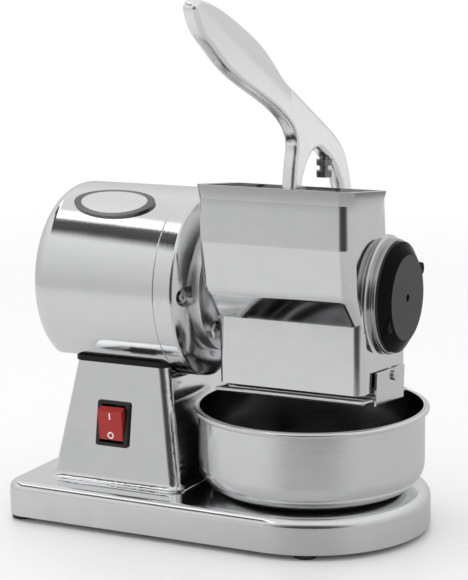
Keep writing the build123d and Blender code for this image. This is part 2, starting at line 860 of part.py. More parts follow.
# Red rocker, with its lower end pressed in
with BuildPart() as switch_rocker:
    with BuildSketch(rocker_side):
        with BuildLine():
            Polyline(
                (-rocker_h / 2 + rocker_bevel, rocker_face_n),
                (rocker_h / 2 - rocker_bevel, rocker_face_n),
                (rocker_h / 2, rocker_back_n),
                (-rocker_h / 2, rocker_back_n),
                close=True,
            )
        make_face()
        Circle(rocker_hub_r)
    extrude(amount=rocker_w / 2, both=True)
    fillet(switch_rocker.faces().sort_by(SortBy.AREA)[-1].edges(), rocker_edge_r)
    with BuildSketch(rocker_side):
        Circle(rocker_pivot_r)
    extrude(amount=rocker_w / 2 + joint_gap + rocker_pivot_l, both=True)

# Cord inlet: a plastic gland through the pedestal's rear wall
with BuildPart() as cable_gland:
    with BuildSketch(gland_plane):
        Circle(gland_flange_r)
    extrude(amount=gland_flange_t, taper=8)
    with BuildSketch(gland_plane):
        Circle(gland_neck_r)
    extrude(amount=-gland_neck_l)
    with BuildSketch(gland_plane.offset(gland_flange_t)):
        Circle(gland_bore_r)
    extrude(amount=-gland_flange_t - gland_neck_l, mode=Mode.SUBTRACT)

with BuildPart() as gland_nut:
    with BuildSketch(gland_plane.offset(-pedestal_wall - 0.2)):
        RegularPolygon(gland_nut_af / 2, 6, major_radius=False)
        Circle(gland_neck_r + fit_gap, mode=Mode.SUBTRACT)
    extrude(amount=-gland_nut_t)

# Hopper casting. The front wall leans back below its bend and turns under at a knee to the crease.
# Its inside follows one arc
belly_drop = hopper_bend_z - crease_z
belly_back = chute_front - hopper_front
belly_turn = 2 * atan2(belly_back, belly_drop)
belly_r = belly_drop / sin(belly_turn)
outer_bend_z = hopper_bend_z + bend_rise
knee_drop = knee_share * (outer_bend_z - crease_z)
knee_y = hopper_front + knee_drop * tan(radians(belly_lean))
knee_z = outer_bend_z - knee_drop


def belly_point(share, inset):
    """Point on the front wall's arc, at a share of its turn and a depth inside the wall."""
    turn = belly_turn * share
    radius = belly_r - inset
    return (
        hopper_front + belly_r - radius * cos(turn),
        hopper_bend_z - radius * sin(turn),
    )


with BuildPart() as hopper_casting:
    with BuildSketch(Plane.YZ) as hopper_side:
        with BuildLine():
            Polyline(
                (hopper_front, rim_front_z),
                (hopper_front, outer_bend_z),
                (knee_y, knee_z),
                (chute_front, crease_z),
                (0, crease_z),
                (shaft_rear_low, axis_z + drum_housing_r - 1),
                (shaft_rear, rim_rear_z),
                close=True,
            )
        make_face()
        fillet(hopper_side.vertices().sort_by_distance((hopper_front, outer_bend_z))[0], bend_round)
        fillet(hopper_side.vertices().sort_by_distance((knee_y, knee_z))[0], knee_round)
    extrude(amount=hopper_half, both=True)
    side_edges = hopper_casting.faces().filter_by(Axis.X).edges()
    rear_y = (shaft_rear + shaft_rear_low) / 2
    corner_edges = [
        e
        for e in side_edges
        if abs(e.center().Y - rear_y) < 1
        or (e.center().Y < chute_front - 1 and e.center().Z < rim_front_z - 2)
    ]
    fillet(corner_edges, hopper_corner_r)
    with BuildSketch(Plane.XZ.offset(-base_half_width)):
        with BuildLine():
            Polyline(
                (-hopper_half, left_bevel_z),
                (chute_left, crease_z),
                (-hopper_half - 20, crease_z - 10),
                (-hopper_half - 20, left_bevel_z),
                close=True,
            )
        make_face()
    extrude(amount=2 * base_half_width, mode=Mode.SUBTRACT)
    with BuildSketch(rim_plane) as lip_top:
        RectangleRounded(
            2 * (hopper_half + lip_flare),
            shaft_rear - hopper_front + 2 * lip_flare,
            hopper_corner_r + lip_flare,
        )
    with BuildSketch(rim_plane.offset(-lip_height)) as lip_foot:
        RectangleRounded(
            2 * (hopper_half - lip_inset),
            shaft_rear - hopper_front - 2 * lip_inset,
            hopper_corner_r - lip_inset,
        )
    loft()
    extrude(discs(chute_left, [(0, 0)], drum_housing_r), amount=collar_end - chute_left)
    with BuildSketch(Plane.XY.offset(chute_bottom)):
        with Locations(((chute_left + hopper_half) / 2, (chute_front + chute_rear) / 2)):
            RectangleRounded(hopper_half - chute_left, chute_rear - chute_front, chute_corner_r)
    extrude(amount=axis_z - chute_bottom)
    extrude(discs(shield_front, [(0, 0)], flange_r), amount=flange_t)
    with BuildSketch(radial_plane):
        with BuildLine():
            Polyline(
                (flange_front + neck_round, neck_root_r - neck_round),
                (chute_left + 2, neck_root_r - neck_round),
                (chute_left + 2, shaft_core_r),
                (flange_front - 1, shaft_core_r),
                (flange_front - 1, neck_root_r),
                (flange_front, neck_root_r),
            )
            TangentArc(
                (flange_front, neck_root_r),
                (flange_front + neck_round, neck_root_r - neck_round),
                tangent=(0, -1),
            )
        make_face()
        with BuildLine():
            foot_round = collar_foot_r - drum_housing_r
            Polyline(
                (collar_end, drum_housing_r),
                (collar_end, drum_bore_r - 1),
                (hopper_half - 2, drum_bore_r - 1),
                (hopper_half - 2, collar_foot_r),
                (hopper_half, collar_foot_r),
            )
            TangentArc(
                (hopper_half, collar_foot_r), (hopper_half + foot_round, drum_housing_r), tangent=(0, -1)
            )
            ThreePointArc(
                (hopper_half + foot_round, drum_housing_r),
                ((hopper_half + foot_round + collar_end) / 2, drum_housing_r + collar_bead),
                (collar_end, drum_housing_r),
            )
        make_face()
    revolve(axis=motor_axis)
    extrude(
        discs(flange_front, hopper_bolt_points, bolt_pocket_r),
        amount=hopper_bolt_head_t + 1.5,
        mode=Mode.SUBTRACT,
    )
    with BuildSketch(Plane.YZ.offset(arm_half + 2 * joint_gap)) as ear:
        with Locations((pivot_y, pivot_z)):
            Circle(ear_r)
        with BuildLine():
            Polyline(
                (pivot_y, pivot_z + ear_r),
                (shaft_rear, pivot_z + ear_r + 6),
                (shaft_rear, axis_z + 10),
                (pivot_y - 16, axis_z + 10),
                (pivot_y + ear_r * 0.86, pivot_z - ear_r * 0.5),
                close=True,
            )
        make_face()
    extrude(amount=ear_t)
    extrude(ear.sketch.moved(Location((-2 * arm_half - 4 * joint_gap - ear_t, 0, 0))), amount=ear_t)
    with BuildSketch(Plane.YZ):
        with BuildLine():
            Polyline(
                (shaft_rear, stop_land_z + (shaft_rear - stop_land_y) * tan(radians(close_angle))),
                (stop_land_y + stop_lip, stop_land_z + stop_lip * tan(radians(close_angle))),
                (stop_land_y + stop_lip, pivot_z + ear_r),
                (shaft_rear, pivot_z - ear_r),
                close=True,
            )
        make_face()
    extrude(amount=arm_half + 2 * joint_gap + 1, both=True)
    with BuildSketch(Plane.YZ.offset(chute_left - guard_standoff)):
        with Locations((guard_screw_y, guard_screw_z)):
            Circle(guard_boss_r)
    extrude(amount=hopper_half - chute_left + 2 * guard_standoff)
    with BuildSketch(Plane.YZ):
        with BuildLine():
            Polyline(
                (belly_point(0, hopper_wall)[0], rim_front_z + 10),
                belly_point(0, hopper_wall),
            )
            ThreePointArc(
                belly_point(0, hopper_wall), belly_point(0.28, hopper_wall), belly_point(0.56, hopper_wall)
            )
            Polyline(
                belly_point(0.56, hopper_wall),
                (-drum_bore_r + 1, axis_z + 4),
                (shaft_rear_low - hopper_wall, axis_z + 10),
                (shaft_rear_low - hopper_wall, axis_z + drum_housing_r),
                (shaft_rear - hopper_wall, rim_rear_z + 10),
                (belly_point(0, hopper_wall)[0], rim_front_z + 10),
            )
        make_face()
    extrude(amount=hopper_half - hopper_wall, both=True, mode=Mode.SUBTRACT)
    extrude(
        discs(chute_left + hopper_wall, [(0, 0)], drum_bore_r),
        amount=collar_end - chute_left,
        mode=Mode.SUBTRACT,
    )
    with BuildSketch(Plane.XY.offset(chute_bottom)):
        with Locations((chute_left + hopper_wall, chute_front + hopper_wall)):
            Rectangle(
                hopper_half - chute_left - 2 * hopper_wall,
                chute_rear - chute_front - 2 * hopper_wall,
                align=(Align.MIN, Align.MIN),
            )
    extrude(amount=axis_z - chute_bottom - 16, mode=Mode.SUBTRACT)
    extrude(
        discs(shield_front, [(0, 0)], seal_r + fit_gap),
        amount=flange_t + seal_w,
        mode=Mode.SUBTRACT,
    )
    extrude(
        discs(shield_front, [(0, 0)], shaft_nose_r + 1.5),
        amount=hopper_half,
        mode=Mode.SUBTRACT,
    )
    extrude(
        discs(shield_front, hopper_bolt_points, hopper_bolt_r + screw_gap),
        amount=flange_t,
        mode=Mode.SUBTRACT,
    )
    with BuildSketch(Plane.YZ.offset(-2 * hopper_half)):
        with Locations((pivot_y, pivot_z)):
            Circle(pin_r + fit_gap)
        with Locations((guard_screw_y, guard_screw_z)):
            Circle(guard_screw_r + fit_gap)
    extrude(amount=4 * hopper_half, mode=Mode.SUBTRACT)

# Bolts through the hopper's flange into the shield
with BuildPart() as hopper_bolts:
    with BuildSketch(Plane.YZ.offset(flange_front)):
        with Locations(*[(y, axis_z + z) for y, z in hopper_bolt_points]):
            RegularPolygon(hopper_bolt_head_af / 2, 6, major_radius=False)
    extrude(amount=hopper_bolt_head_t)
    extrude(
        discs(flange_front, hopper_bolt_points, hopper_bolt_r),
        amount=-flange_t - hopper_bolt_bite,
    )

# Lip seal around the shaft
with BuildPart() as shaft_seal:
    with BuildSketch(Plane.YZ.offset(flange_front)):
        with Locations((0, axis_z)):
            Circle(seal_r)
            Circle(shaft_nose_r + running_gap, mode=Mode.SUBTRACT)
    extrude(amount=seal_w)

# Grating sleeve with staggered rows of holes
with BuildPart() as grating_sleeve:
    with BuildSketch(Plane.YZ.offset(drum_left)):
        with Locations((0, axis_z)):
            Circle(sleeve_r)
            Circle(sleeve_r - sleeve_t, mode=Mode.SUBTRACT)
    extrude(amount=drum_right - drum_left)
    hole_pitch = (drum_right - drum_left - 2 * drum_outer_t) / hole_rows
    for column in range(hole_columns):
        turn = radians(360 * column / hole_columns)
        column_plane = Plane(
            origin=((drum_left + drum_right) / 2 + (column % 2 - 0.5) * hole_pitch / 2, 0, axis_z),
            x_dir=(1, 0, 0),
            z_dir=(0, cos(turn), sin(turn)),
        )
        with BuildSketch(column_plane):
            with GridLocations(hole_pitch, 0, hole_rows - 1, 1):
                Circle(hole_r)
        extrude(amount=sleeve_r + 1, mode=Mode.SUBTRACT)

# End discs of the drum
with BuildPart() as drum_end_inner:
    extrude(discs(drum_left, [(0, 0)], sleeve_r - sleeve_t - fit_gap), amount=drum_outer_t)
    extrude(discs(drum_left, [(0, 0)], drum_hub_r), amount=drum_inner_t)
    extrude(
        discs(drum_left, [(0, 0)], shaft_nose_r + fit_gap), amount=drum_inner_t, mode=Mode.SUBTRACT
    )
    with BuildSketch(Plane.XY.offset(axis_z)):
        with Locations((drum_left + drum_pin_x, 0)):
            Circle(drive_pin_r + fit_gap)
    extrude(amount=drum_hub_r + 1, both=True, mode=Mode.SUBTRACT)

with BuildPart() as drum_end_outer:
    with BuildSketch(Plane.YZ.offset(drum_right - drum_outer_t)):
        with Locations((0, axis_z)):
            Circle(sleeve_r - sleeve_t - fit_gap)
            Circle(shaft_nose_r + fit_gap, mode=Mode.SUBTRACT)
    extrude(amount=drum_outer_t)

# Cross pin through the inner disc's hub and the shaft
with BuildPart() as drum_drive_pin:
    with BuildSketch(Plane.XY.offset(axis_z)):
        with Locations((drum_left + drum_pin_x, 0)):
            Circle(drive_pin_r)
    extrude(amount=drum_hub_r - 0.5, both=True)

# Domed nut that keeps the drum on the shaft
with BuildPart() as drum_nut:
    with BuildSketch(Plane.YZ.offset(drum_right)):
        with Locations((0, axis_z)):
            RegularPolygon(drum_nut_af / 2, 6, major_radius=False)
    extrude(amount=drum_nut_t)
    chamfer(drum_nut.faces().sort_by(Axis.X)[-1].edges(), 1.2)
    extrude(
        discs(drum_right, [(0, 0)], shaft_thread_r + fit_gap),
        amount=drum_nut_t - 1.6,
        mode=Mode.SUBTRACT,
    )

# Sealing ring between collar and cap
with BuildPart() as cap_seal:
    with BuildSketch(Plane.YZ.offset(collar_end)):
        with Locations((0, axis_z)):
            Circle(drum_bore_r + cap_seal_w)
            Circle(drum_bore_r, mode=Mode.SUBTRACT)
    extrude(amount=cap_seal_t)

# Screw cap: spigot, sloped rim, two pegs and a centre hole
with BuildPart() as drum_cap:
    with BuildSketch(radial_plane):
        with BuildLine():
            Polyline(
                (cap_back - cap_spigot_l - cap_seal_t, cap_spigot_r),
                (cap_back, cap_spigot_r),
                (cap_back, cap_r),
                (cap_back + cap_rim_w, cap_r),
                (cap_front, cap_face_r),
                (cap_front, cap_hole_r),
                (cap_front - cap_plate_t, cap_hole_r),
                (cap_front - cap_plate_t, cap_spigot_r - cap_spigot_wall),
                (cap_back - cap_spigot_l - cap_seal_t, cap_spigot_r - cap_spigot_wall),
                close=True,
            )
        make_face()
    revolve(axis=motor_axis)
    face_edge = drum_cap.edges().filter_by(GeomType.CIRCLE).filter_by_position(
        Axis.X, cap_front - 0.01, cap_front + 0.01
    )
    fillet(face_edge.sort_by(SortBy.LENGTH)[-1], 1.2)
    peg_points = ring_points(peg_circle, [peg_angle, peg_angle + 180])
    extrude(discs(cap_back, peg_points, peg_r), amount=cap_t - peg_set, taper=peg_taper)

# Finger guard of rods with two side plates
guard_left = chute_left - guard_standoff - guard_plate_t / 2
guard_right = hopper_half + guard_standoff + guard_plate_t / 2
rail_inset = guard_plate_t / 2 + guard_rod_r - guard_weld
with BuildPart() as outlet_guard:
    with BuildSketch(Plane.YZ.offset(guard_left + rail_inset)):
        for bar in range(guard_bars):
            back = guard_depth * bar / (guard_bars - 1)
            with Locations(
                (
                    guard_front_y + back * cos(radians(guard_tilt)),
                    guard_front_z - back * sin(radians(guard_tilt)),
                )
            ):
                Circle(guard_rod_r)
    extrude(amount=guard_right - guard_left - 2 * rail_inset)
    for x, rail_x in ((guard_left, guard_left + rail_inset), (guard_right, guard_right - rail_inset)):
        side = Plane(
            origin=(rail_x, guard_front_y, guard_front_z), x_dir=guard_plane.x_dir, z_dir=guard_plane.y_dir
        )
        with BuildSketch(side):
            Circle(guard_rod_r)
        extrude(amount=guard_depth)
        with Locations(side.origin, side.origin + guard_plane.y_dir * guard_depth):
            Sphere(guard_rod_r)
        flank = Plane(
            origin=(x, guard_front_y, guard_front_z), x_dir=guard_plane.y_dir, z_dir=(1, 0, 0)
        )
        with BuildSketch(flank):
            with Locations((guard_plate_y - guard_front_y, -guard_plate_low)):
                Rectangle(guard_plate_l, guard_plate_h, align=(Align.MIN, Align.MIN))
        extrude(amount=guard_plate_t / 2, both=True)
    with BuildSketch(Plane.YZ.offset(-2 * hopper_half)):
        with Locations((guard_screw_y, guard_screw_z)):
            Circle(guard_screw_r + screw_gap)
    extrude(amount=4 * hopper_half, mode=Mode.SUBTRACT)

# One screw for each plate of the guard
with BuildPart() as guard_screws:
    for x, way in ((guard_left - guard_plate_t / 2, -1), (guard_right + guard_plate_t / 2, 1)):
        with BuildSketch(Plane.YZ.offset(x)):
            with Locations((guard_screw_y, guard_screw_z)):
                Circle(guard_screw_head_r)
        extrude(amount=way * guard_screw_head_t)
        with BuildSketch(Plane.YZ.offset(x)):
            with Locations((guard_screw_y, guard_screw_z)):
                Circle(guard_screw_r)
        extrude(amount=-way * (guard_plate_t + guard_screw_bite))

# Lever arm: a flat casting that forks over the hopper, with a leaf-shaped grip in front
with BuildPart() as lever_arm:
    with BuildSketch(Plane.YZ):
        with BuildLine():
            ThreePointArc(*grip_end)
            Spline(grip_end[-1], *arm_top, (pivot_y + ear_r, pivot_z), tangents=(grip_top_way, (0, -1)))
            ThreePointArc(
                (pivot_y + ear_r, pivot_z), (pivot_y, pivot_z - ear_r), (pivot_y - ear_r, pivot_z)
            )
            Spline((pivot_y - ear_r, pivot_z), *arm_arch)
            Polyline(
                arm_arch[-1],
                (arm_arch[-1][0] - 2, pad_top),
                (arm_leg[0][0] - 2, pad_top),
                arm_leg[0],
            )
            Spline(*arm_leg, grip_end[0], tangents=(leg_way, grip_under_way))
        make_face()
    extrude(amount=arm_half, both=True)
    round_edges = [
        e for e in lever_arm.faces().filter_by(Axis.X).edges() if e.center().Z > pad_top + 9
    ]
    fillet(round_edges, arm_edge_r)
    grip_way = Vector(0, grip_tip[0] - grip_neck[0], grip_tip[1] - grip_neck[1])
    grip_section = Plane(origin=(0, *grip_neck), x_dir=(1, 0, 0), z_dir=grip_way)
    with BuildSketch(grip_section):
        for way in (-1, 1):
            with BuildLine():
                ThreePointArc(
                    (way * grip_edge_half, -grip_lens_half),
                    (way * arm_half, 0),
                    (way * grip_edge_half, grip_lens_half),
                )
                Polyline(
                    (way * grip_edge_half, grip_lens_half),
                    (way * grip_edge_half, 2 * grip_lens_half),
                    (way * 2 * arm_half, 2 * grip_lens_half),
                    (way * 2 * arm_half, -2 * grip_lens_half),
                    (way * grip_edge_half, -2 * grip_lens_half),
                    (way * grip_edge_half, -grip_lens_half),
                )
            make_face()
    extrude(amount=grip_way.length + 2 * arm_half, mode=Mode.SUBTRACT)
    with BuildSketch(Plane.XY.offset(pad_top)):
        with Locations((0, (pad_foot_front + pad_foot_rear) / 2)):
            RectangleRounded(2 * pad_foot_x, pad_foot_rear - pad_foot_front, 4)
    extrude(amount=pad_foot_t)
    with BuildSketch(Plane.YZ.offset(-arm_half)):
        with Locations((pivot_y, pivot_z)):
            Circle(pin_r + running_gap)
    extrude(amount=2 * arm_half, mode=Mode.SUBTRACT)
    with BuildSketch(Plane.XY.offset(stop_head_z)):
        with Locations((0, stop_y)):
            Circle(stop_bolt_r + fit_gap)
    extrude(amount=stop_head_t + stop_shank + stop_nut_t + stop_bite + 0.5, mode=Mode.SUBTRACT)
    with BuildSketch(Plane.XY.offset(stop_head_z)):
        with Locations((0, stop_y)):
            Circle(stop_head_af * 0.62)
    extrude(amount=stop_head_t + stop_shank + stop_nut_t, mode=Mode.SUBTRACT)
    with BuildSketch(Plane.XY.offset(pad_top)):
        with Locations((-pad_screw_x, pad_screw_y), (pad_screw_x, pad_screw_y)):
            Circle(pad_screw_r + fit_gap)
    extrude(amount=pad_screw_bite + 0.3, mode=Mode.SUBTRACT)

# Presser pad, hollowed to the drum
with BuildPart() as presser_pad:
    pad_arc_r = sleeve_r + pad_drum_gap
    pad_low = (pad_arc_y, pad_arc_cz + sqrt(pad_arc_r**2 - (pad_arc_y - pad_arc_cy) ** 2))
    pad_mid_y = (pad_arc_y + pad_rear) / 2
    pad_mid = (pad_mid_y, pad_arc_cz + sqrt(pad_arc_r**2 - (pad_mid_y - pad_arc_cy) ** 2))
    pad_end = (pad_rear, pad_arc_cz + sqrt(pad_arc_r**2 - (pad_rear - pad_arc_cy) ** 2))
    with BuildSketch(Plane.YZ):
        with BuildLine():
            Polyline(pad_end, (pad_rear, pad_top), (pad_front, pad_top), (pad_front, pad_nose_z), pad_low)
            ThreePointArc(pad_low, pad_mid, pad_end)
        make_face()
    extrude(amount=pad_half, both=True)
    fillet(presser_pad.edges().filter_by(Axis.Z), pad_corner_r)
    with BuildSketch(Plane.XY.offset(pad_top)):
        with Locations((-pad_screw_x, pad_screw_y), (pad_screw_x, pad_screw_y)):
            Circle(pad_screw_r + screw_gap)
    extrude(amount=-pad_screw_seat - 1, mode=Mode.SUBTRACT)
    with BuildSketch(Plane.XY.offset(pad_top - pad_screw_seat)):
        with Locations((-pad_screw_x, pad_screw_y), (pad_screw_x, pad_screw_y)):
            Circle(pad_screw_head_r + screw_gap)
    extrude(amount=-sleeve_r, mode=Mode.SUBTRACT)

with BuildPart() as presser_screws:
    with BuildSketch(Plane.XY.offset(pad_top - pad_screw_seat)):
        with Locations((-pad_screw_x, pad_screw_y), (pad_screw_x, pad_screw_y)):
            Circle(pad_screw_head_r)
    extrude(amount=-pad_screw_head_t)
    with BuildSketch(Plane.XY.offset(pad_top - pad_screw_seat)):
        with Locations((-pad_screw_x, pad_screw_y), (pad_screw_x, pad_screw_y)):
            Circle(pad_screw_r)
    extrude(amount=pad_screw_seat + pad_screw_bite)

# Hinge pin, fixed in the ears, with a head at one end and a clip at the other
ear_face = arm_half + 2 * joint_gap + ear_t
with BuildPart() as hinge_pin:
    with BuildSketch(Plane.YZ.offset(-ear_face - pin_tail)):
        with Locations((pivot_y, pivot_z)):
            Circle(pin_r)
    extrude(amount=2 * ear_face + pin_tail)
    with BuildSketch(Plane.YZ.offset(ear_face)):
        with Locations((pivot_y, pivot_z)):
            Circle(pin_head_r)
    extrude(amount=pin_head_t)
    with BuildSketch(Plane.YZ.offset(-ear_face - clip_t - fit_gap)):
        with Locations((pivot_y, pivot_z)):
            Circle(pin_r + 1)
            Circle(clip_groove_r, mode=Mode.SUBTRACT)
    extrude(amount=clip_t + fit_gap, mode=Mode.SUBTRACT)

with BuildPart() as pin_clip:
    with BuildSketch(Plane.YZ.offset(-ear_face - clip_t)):
        with Locations((pivot_y, pivot_z)):
            Circle(clip_r)
            Circle(clip_groove_r + fit_gap, mode=Mode.SUBTRACT)
        with Locations((pivot_y, pivot_z - clip_r)):
            Rectangle(1.5 * clip_groove_r, clip_r, mode=Mode.SUBTRACT)
    extrude(amount=clip_t)

# Stop bolt under the lever's arch, and its lock nut
with BuildPart() as stop_bolt:
    with BuildSketch(Plane.XY.offset(stop_head_z)):
        with Locations((0, stop_y)):
            RegularPolygon(stop_head_af / 2, 6, major_radius=False)
    extrude(amount=stop_head_t)
    with BuildSketch(Plane.XY.offset(stop_head_z)):
        with Locations((0, stop_y)):
            Circle(stop_bolt_r)
    extrude(amount=stop_head_t + stop_shank + stop_nut_t + stop_bite)

with BuildPart() as stop_locknut:
    with BuildSketch(Plane.XY.offset(stop_head_z + stop_head_t + stop_shank)):
        with Locations((0, stop_y)):
            RegularPolygon(stop_head_af / 2, 6, major_radius=False)
            Circle(stop_bolt_r + fit_gap, mode=Mode.SUBTRACT)
    extrude(amount=stop_nut_t)

# Bowl with a rolled rim, standing on the base
with BuildPart() as bowl:
    with Locations((0, 0, base_top + joint_gap)):
        Cylinder(bowl_r, bowl_height, align=(Align.CENTER, Align.CENTER, Align.MIN))
    fillet(bowl.faces().sort_by(Axis.Z)[0].edges(), bowl_corner_r)
    offset(amount=-bowl_t, openings=bowl.faces().sort_by(Axis.Z)[-1])
    with Locations((0, 0, base_top + joint_gap + bowl_height - bowl_bead_r)):
        Torus(bowl_r + bowl_bead_r - bowl_t / 2, bowl_bead_r)

nodes = [
    ("base_casting", base_casting),
    ("bottom_plate", bottom_plate),
    ("rubber_feet", rubber_feet),
    ("foot_screws", foot_screws),
    ("motor_gasket", motor_gasket),
    ("motor_bolts", motor_bolts),
    ("motor_housing", motor_housing),
    ("front_shield", front_shield),
    ("shield_screws", shield_screws),
    ("badge_plate", badge_plate),
    ("stator_core", stator_core),
    ("stator_windings", stator_windings),
    ("rotor_core", rotor_core),
    ("rotor_end_rings", rotor_end_rings),
    ("motor_shaft", motor_shaft),
    ("front_bearing", front_bearing),
    ("rear_bearing", rear_bearing),
    ("bearing_spring", bearing_spring),
    ("capacitor", capacitor),
    ("capacitor_nut", capacitor_nut),
    ("terminal_block", terminal_block),
    ("switch_body", switch_body),
    ("switch_rocker", switch_rocker),
    ("cable_gland", cable_gland),
    ("gland_nut", gland_nut),
    ("hopper_casting", hopper_casting),
    ("hopper_bolts", hopper_bolts),
    ("shaft_seal", shaft_seal),
    ("grating_sleeve", grating_sleeve),
    ("drum_end_inner", drum_end_inner),
    ("drum_end_outer", drum_end_outer),
    ("drum_drive_pin", drum_drive_pin),
    ("drum_nut", drum_nut),
    ("cap_seal", cap_seal),
    ("drum_cap", drum_cap),
    ("outlet_guard", outlet_guard),
    ("guard_screws", guard_screws),
    ("lever_arm", lever_arm),
    ("presser_pad", presser_pad),
    ("presser_screws", presser_screws),
    ("hinge_pin", hinge_pin),
    ("pin_clip", pin_clip),
    ("stop_bolt", stop_bolt),
    ("stop_locknut", stop_locknut),
    ("bowl", bowl),
]
for label, builder in nodes:
    builder.part.label = label
    export_step(builder.part, "parts/" + label + ".step")
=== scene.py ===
import bmesh
import bpy
import json
import math
from mathutils import Matrix, Vector


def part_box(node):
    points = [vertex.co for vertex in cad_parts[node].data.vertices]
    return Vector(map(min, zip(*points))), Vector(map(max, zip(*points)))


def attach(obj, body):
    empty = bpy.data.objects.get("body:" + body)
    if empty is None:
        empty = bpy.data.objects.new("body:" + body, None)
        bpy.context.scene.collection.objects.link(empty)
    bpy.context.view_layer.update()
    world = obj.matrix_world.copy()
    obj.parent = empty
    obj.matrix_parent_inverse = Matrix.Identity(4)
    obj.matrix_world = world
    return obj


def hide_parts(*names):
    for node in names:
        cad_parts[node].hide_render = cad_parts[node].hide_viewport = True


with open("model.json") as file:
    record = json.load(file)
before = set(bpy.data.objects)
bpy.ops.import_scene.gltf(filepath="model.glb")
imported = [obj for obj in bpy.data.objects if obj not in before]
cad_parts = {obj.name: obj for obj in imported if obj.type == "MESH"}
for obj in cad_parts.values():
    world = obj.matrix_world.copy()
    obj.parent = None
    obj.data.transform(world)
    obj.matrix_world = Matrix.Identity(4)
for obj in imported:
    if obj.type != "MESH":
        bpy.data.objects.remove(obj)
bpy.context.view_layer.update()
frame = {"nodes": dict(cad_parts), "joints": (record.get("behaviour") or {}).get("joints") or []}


# Base and pedestal: one sand casting in aluminium, ground and polished all over. The foot plate
# is 24 mm tall with a round end under the bowl, and the hollow pedestal carries the motor.
def set_down(name, data):
    """Stands a mesh, a lamp or a camera in the scene."""
    made = bpy.data.objects.new(name, data)
    bpy.context.scene.collection.objects.link(made)
    return made


def piece_from(shape, name):
    """Makes a finished shape a piece of that name."""
    mesh = bpy.data.meshes.new(name)
    shape.to_mesh(mesh)
    shape.free()
    return set_down(name, mesh)


def welded_copy(node, piece, crease_deg=32, edge_mm=0.35):
    """Copies a solid's mesh, joins its loose triangles and breaks its sharp edges a little."""
    weld_gap = 2e-6
    flat_deg = 0.4
    corner_deg = 48
    shell = bmesh.new()
    shell.from_mesh(frame["nodes"][node].data)
    bmesh.ops.remove_doubles(shell, verts=shell.verts, dist=weld_gap)
    bmesh.ops.dissolve_degenerate(shell, edges=shell.edges, dist=weld_gap / 20)
    bmesh.ops.dissolve_limit(
        shell,
        angle_limit=math.radians(flat_deg),
        verts=shell.verts,
        edges=shell.edges,
        delimit=set(),
    )
    crease = math.radians(crease_deg)
    for edge in shell.edges:
        edge.smooth = len(edge.link_faces) == 2 and edge.calc_face_angle(0) < crease
    for face in shell.faces:
        face.smooth = True
        face.material_index = 0
    made = piece_from(shell, piece)
    if edge_mm:
        broken = made.modifiers.new("broken_edges", "BEVEL")
        broken.limit_method = "ANGLE"
        broken.angle_limit = math.radians(corner_deg)
        broken.width = edge_mm / 1000
        broken.segments = 2
    even = made.modifiers.new("even_normals", "WEIGHTED_NORMAL")
    even.keep_sharp = True
    even.weight = 50
    return made


def finish_as(piece, material, body, slot, *stands_for):
    """Gives a piece its material and its body and hides the solids that it stands for; the slot is not
    used.
    """
    piece.data.materials.clear()
    piece.data.materials.append(material)
    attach(piece, body)
    if stands_for:
        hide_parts(*stands_for)


def wire(node, **given):
    """Sets a node up, in the order given, and hands back its outputs.

    A name in small letters is a setting and one with a capital is a socket, with underscores for
    its spaces; i0 is the first socket and i1 the second. A socket takes a link or a value.
    """
    for name, value in given.items():
        numbered = name[1:].isdigit()
        if name[0].islower() and not numbered:
            setattr(node, name, value)
            continue
        socket = node.inputs[int(name[1:]) if numbered else name.replace("_", " ")]
        if hasattr(value, "is_output"):
            node.id_data.links.new(value, socket)
        else:
            socket.default_value = value
    return node.outputs


def node_maker(tree):
    """Gives the function that adds a node to this tree and sets it up."""

    def add(kind, **given):
        return wire(tree.nodes.new(kind), **given)

    return add


def node_group(name, kind, inputs, outputs):
    """An empty group with named inputs and outputs, each with the kind of its socket."""
    group = bpy.data.node_groups.new(name, kind)
    for way_in_or_out, sockets in (("INPUT", inputs), ("OUTPUT", outputs)):
        for label, socket in sockets.items():
            group.interface.new_socket(label, in_out=way_in_or_out, socket_type="NodeSocket" + socket)
    return group


def mixed(add, share, a, b, kind="MIX"):
    """Colour a with a share of colour b in it."""
    return add("ShaderNodeMix", data_type="RGBA", blend_type=kind, Factor=share, A=a, B=b)["Result"]


def polishing_group():
    """Buffing marks: long fine streaks and slow waves that a polishing wheel leaves in metal."""
    group = node_group(
        "buffing_marks",
        "ShaderNodeTree",
        {
            "Streak scale": "Float",
            "Stretch": "Float",
            "Stretch across": "Float",
            "Wave scale": "Float",
            "Place": "Vector",
        },
        {"Streak": "Float", "Wave": "Float", "Cloud": "Float"},
    )
    add = node_maker(group)
    get = add("NodeGroupInput")
    place = get["Place"]
    stretch = add("ShaderNodeCombineXYZ", X=get["Stretch"], Y=get["Stretch across"], Z=1.0)[0]
    pulled = add("ShaderNodeVectorMath", operation="MULTIPLY", i0=place, i1=stretch)[0]
    streak = add("ShaderNodeTexNoise", Vector=pulled, Scale=get["Streak scale"], Detail=3.0)["Fac"]
    wave = add("ShaderNodeTexNoise", Vector=place, Scale=get["Wave scale"], Detail=1.0)["Fac"]
    cloud = add("ShaderNodeTexNoise", Vector=place, Scale=70.0, Detail=6.0)["Fac"]
    add("NodeGroupOutput", Streak=streak, Wave=wave, Cloud=cloud)
    return group


buffing_marks = polishing_group()


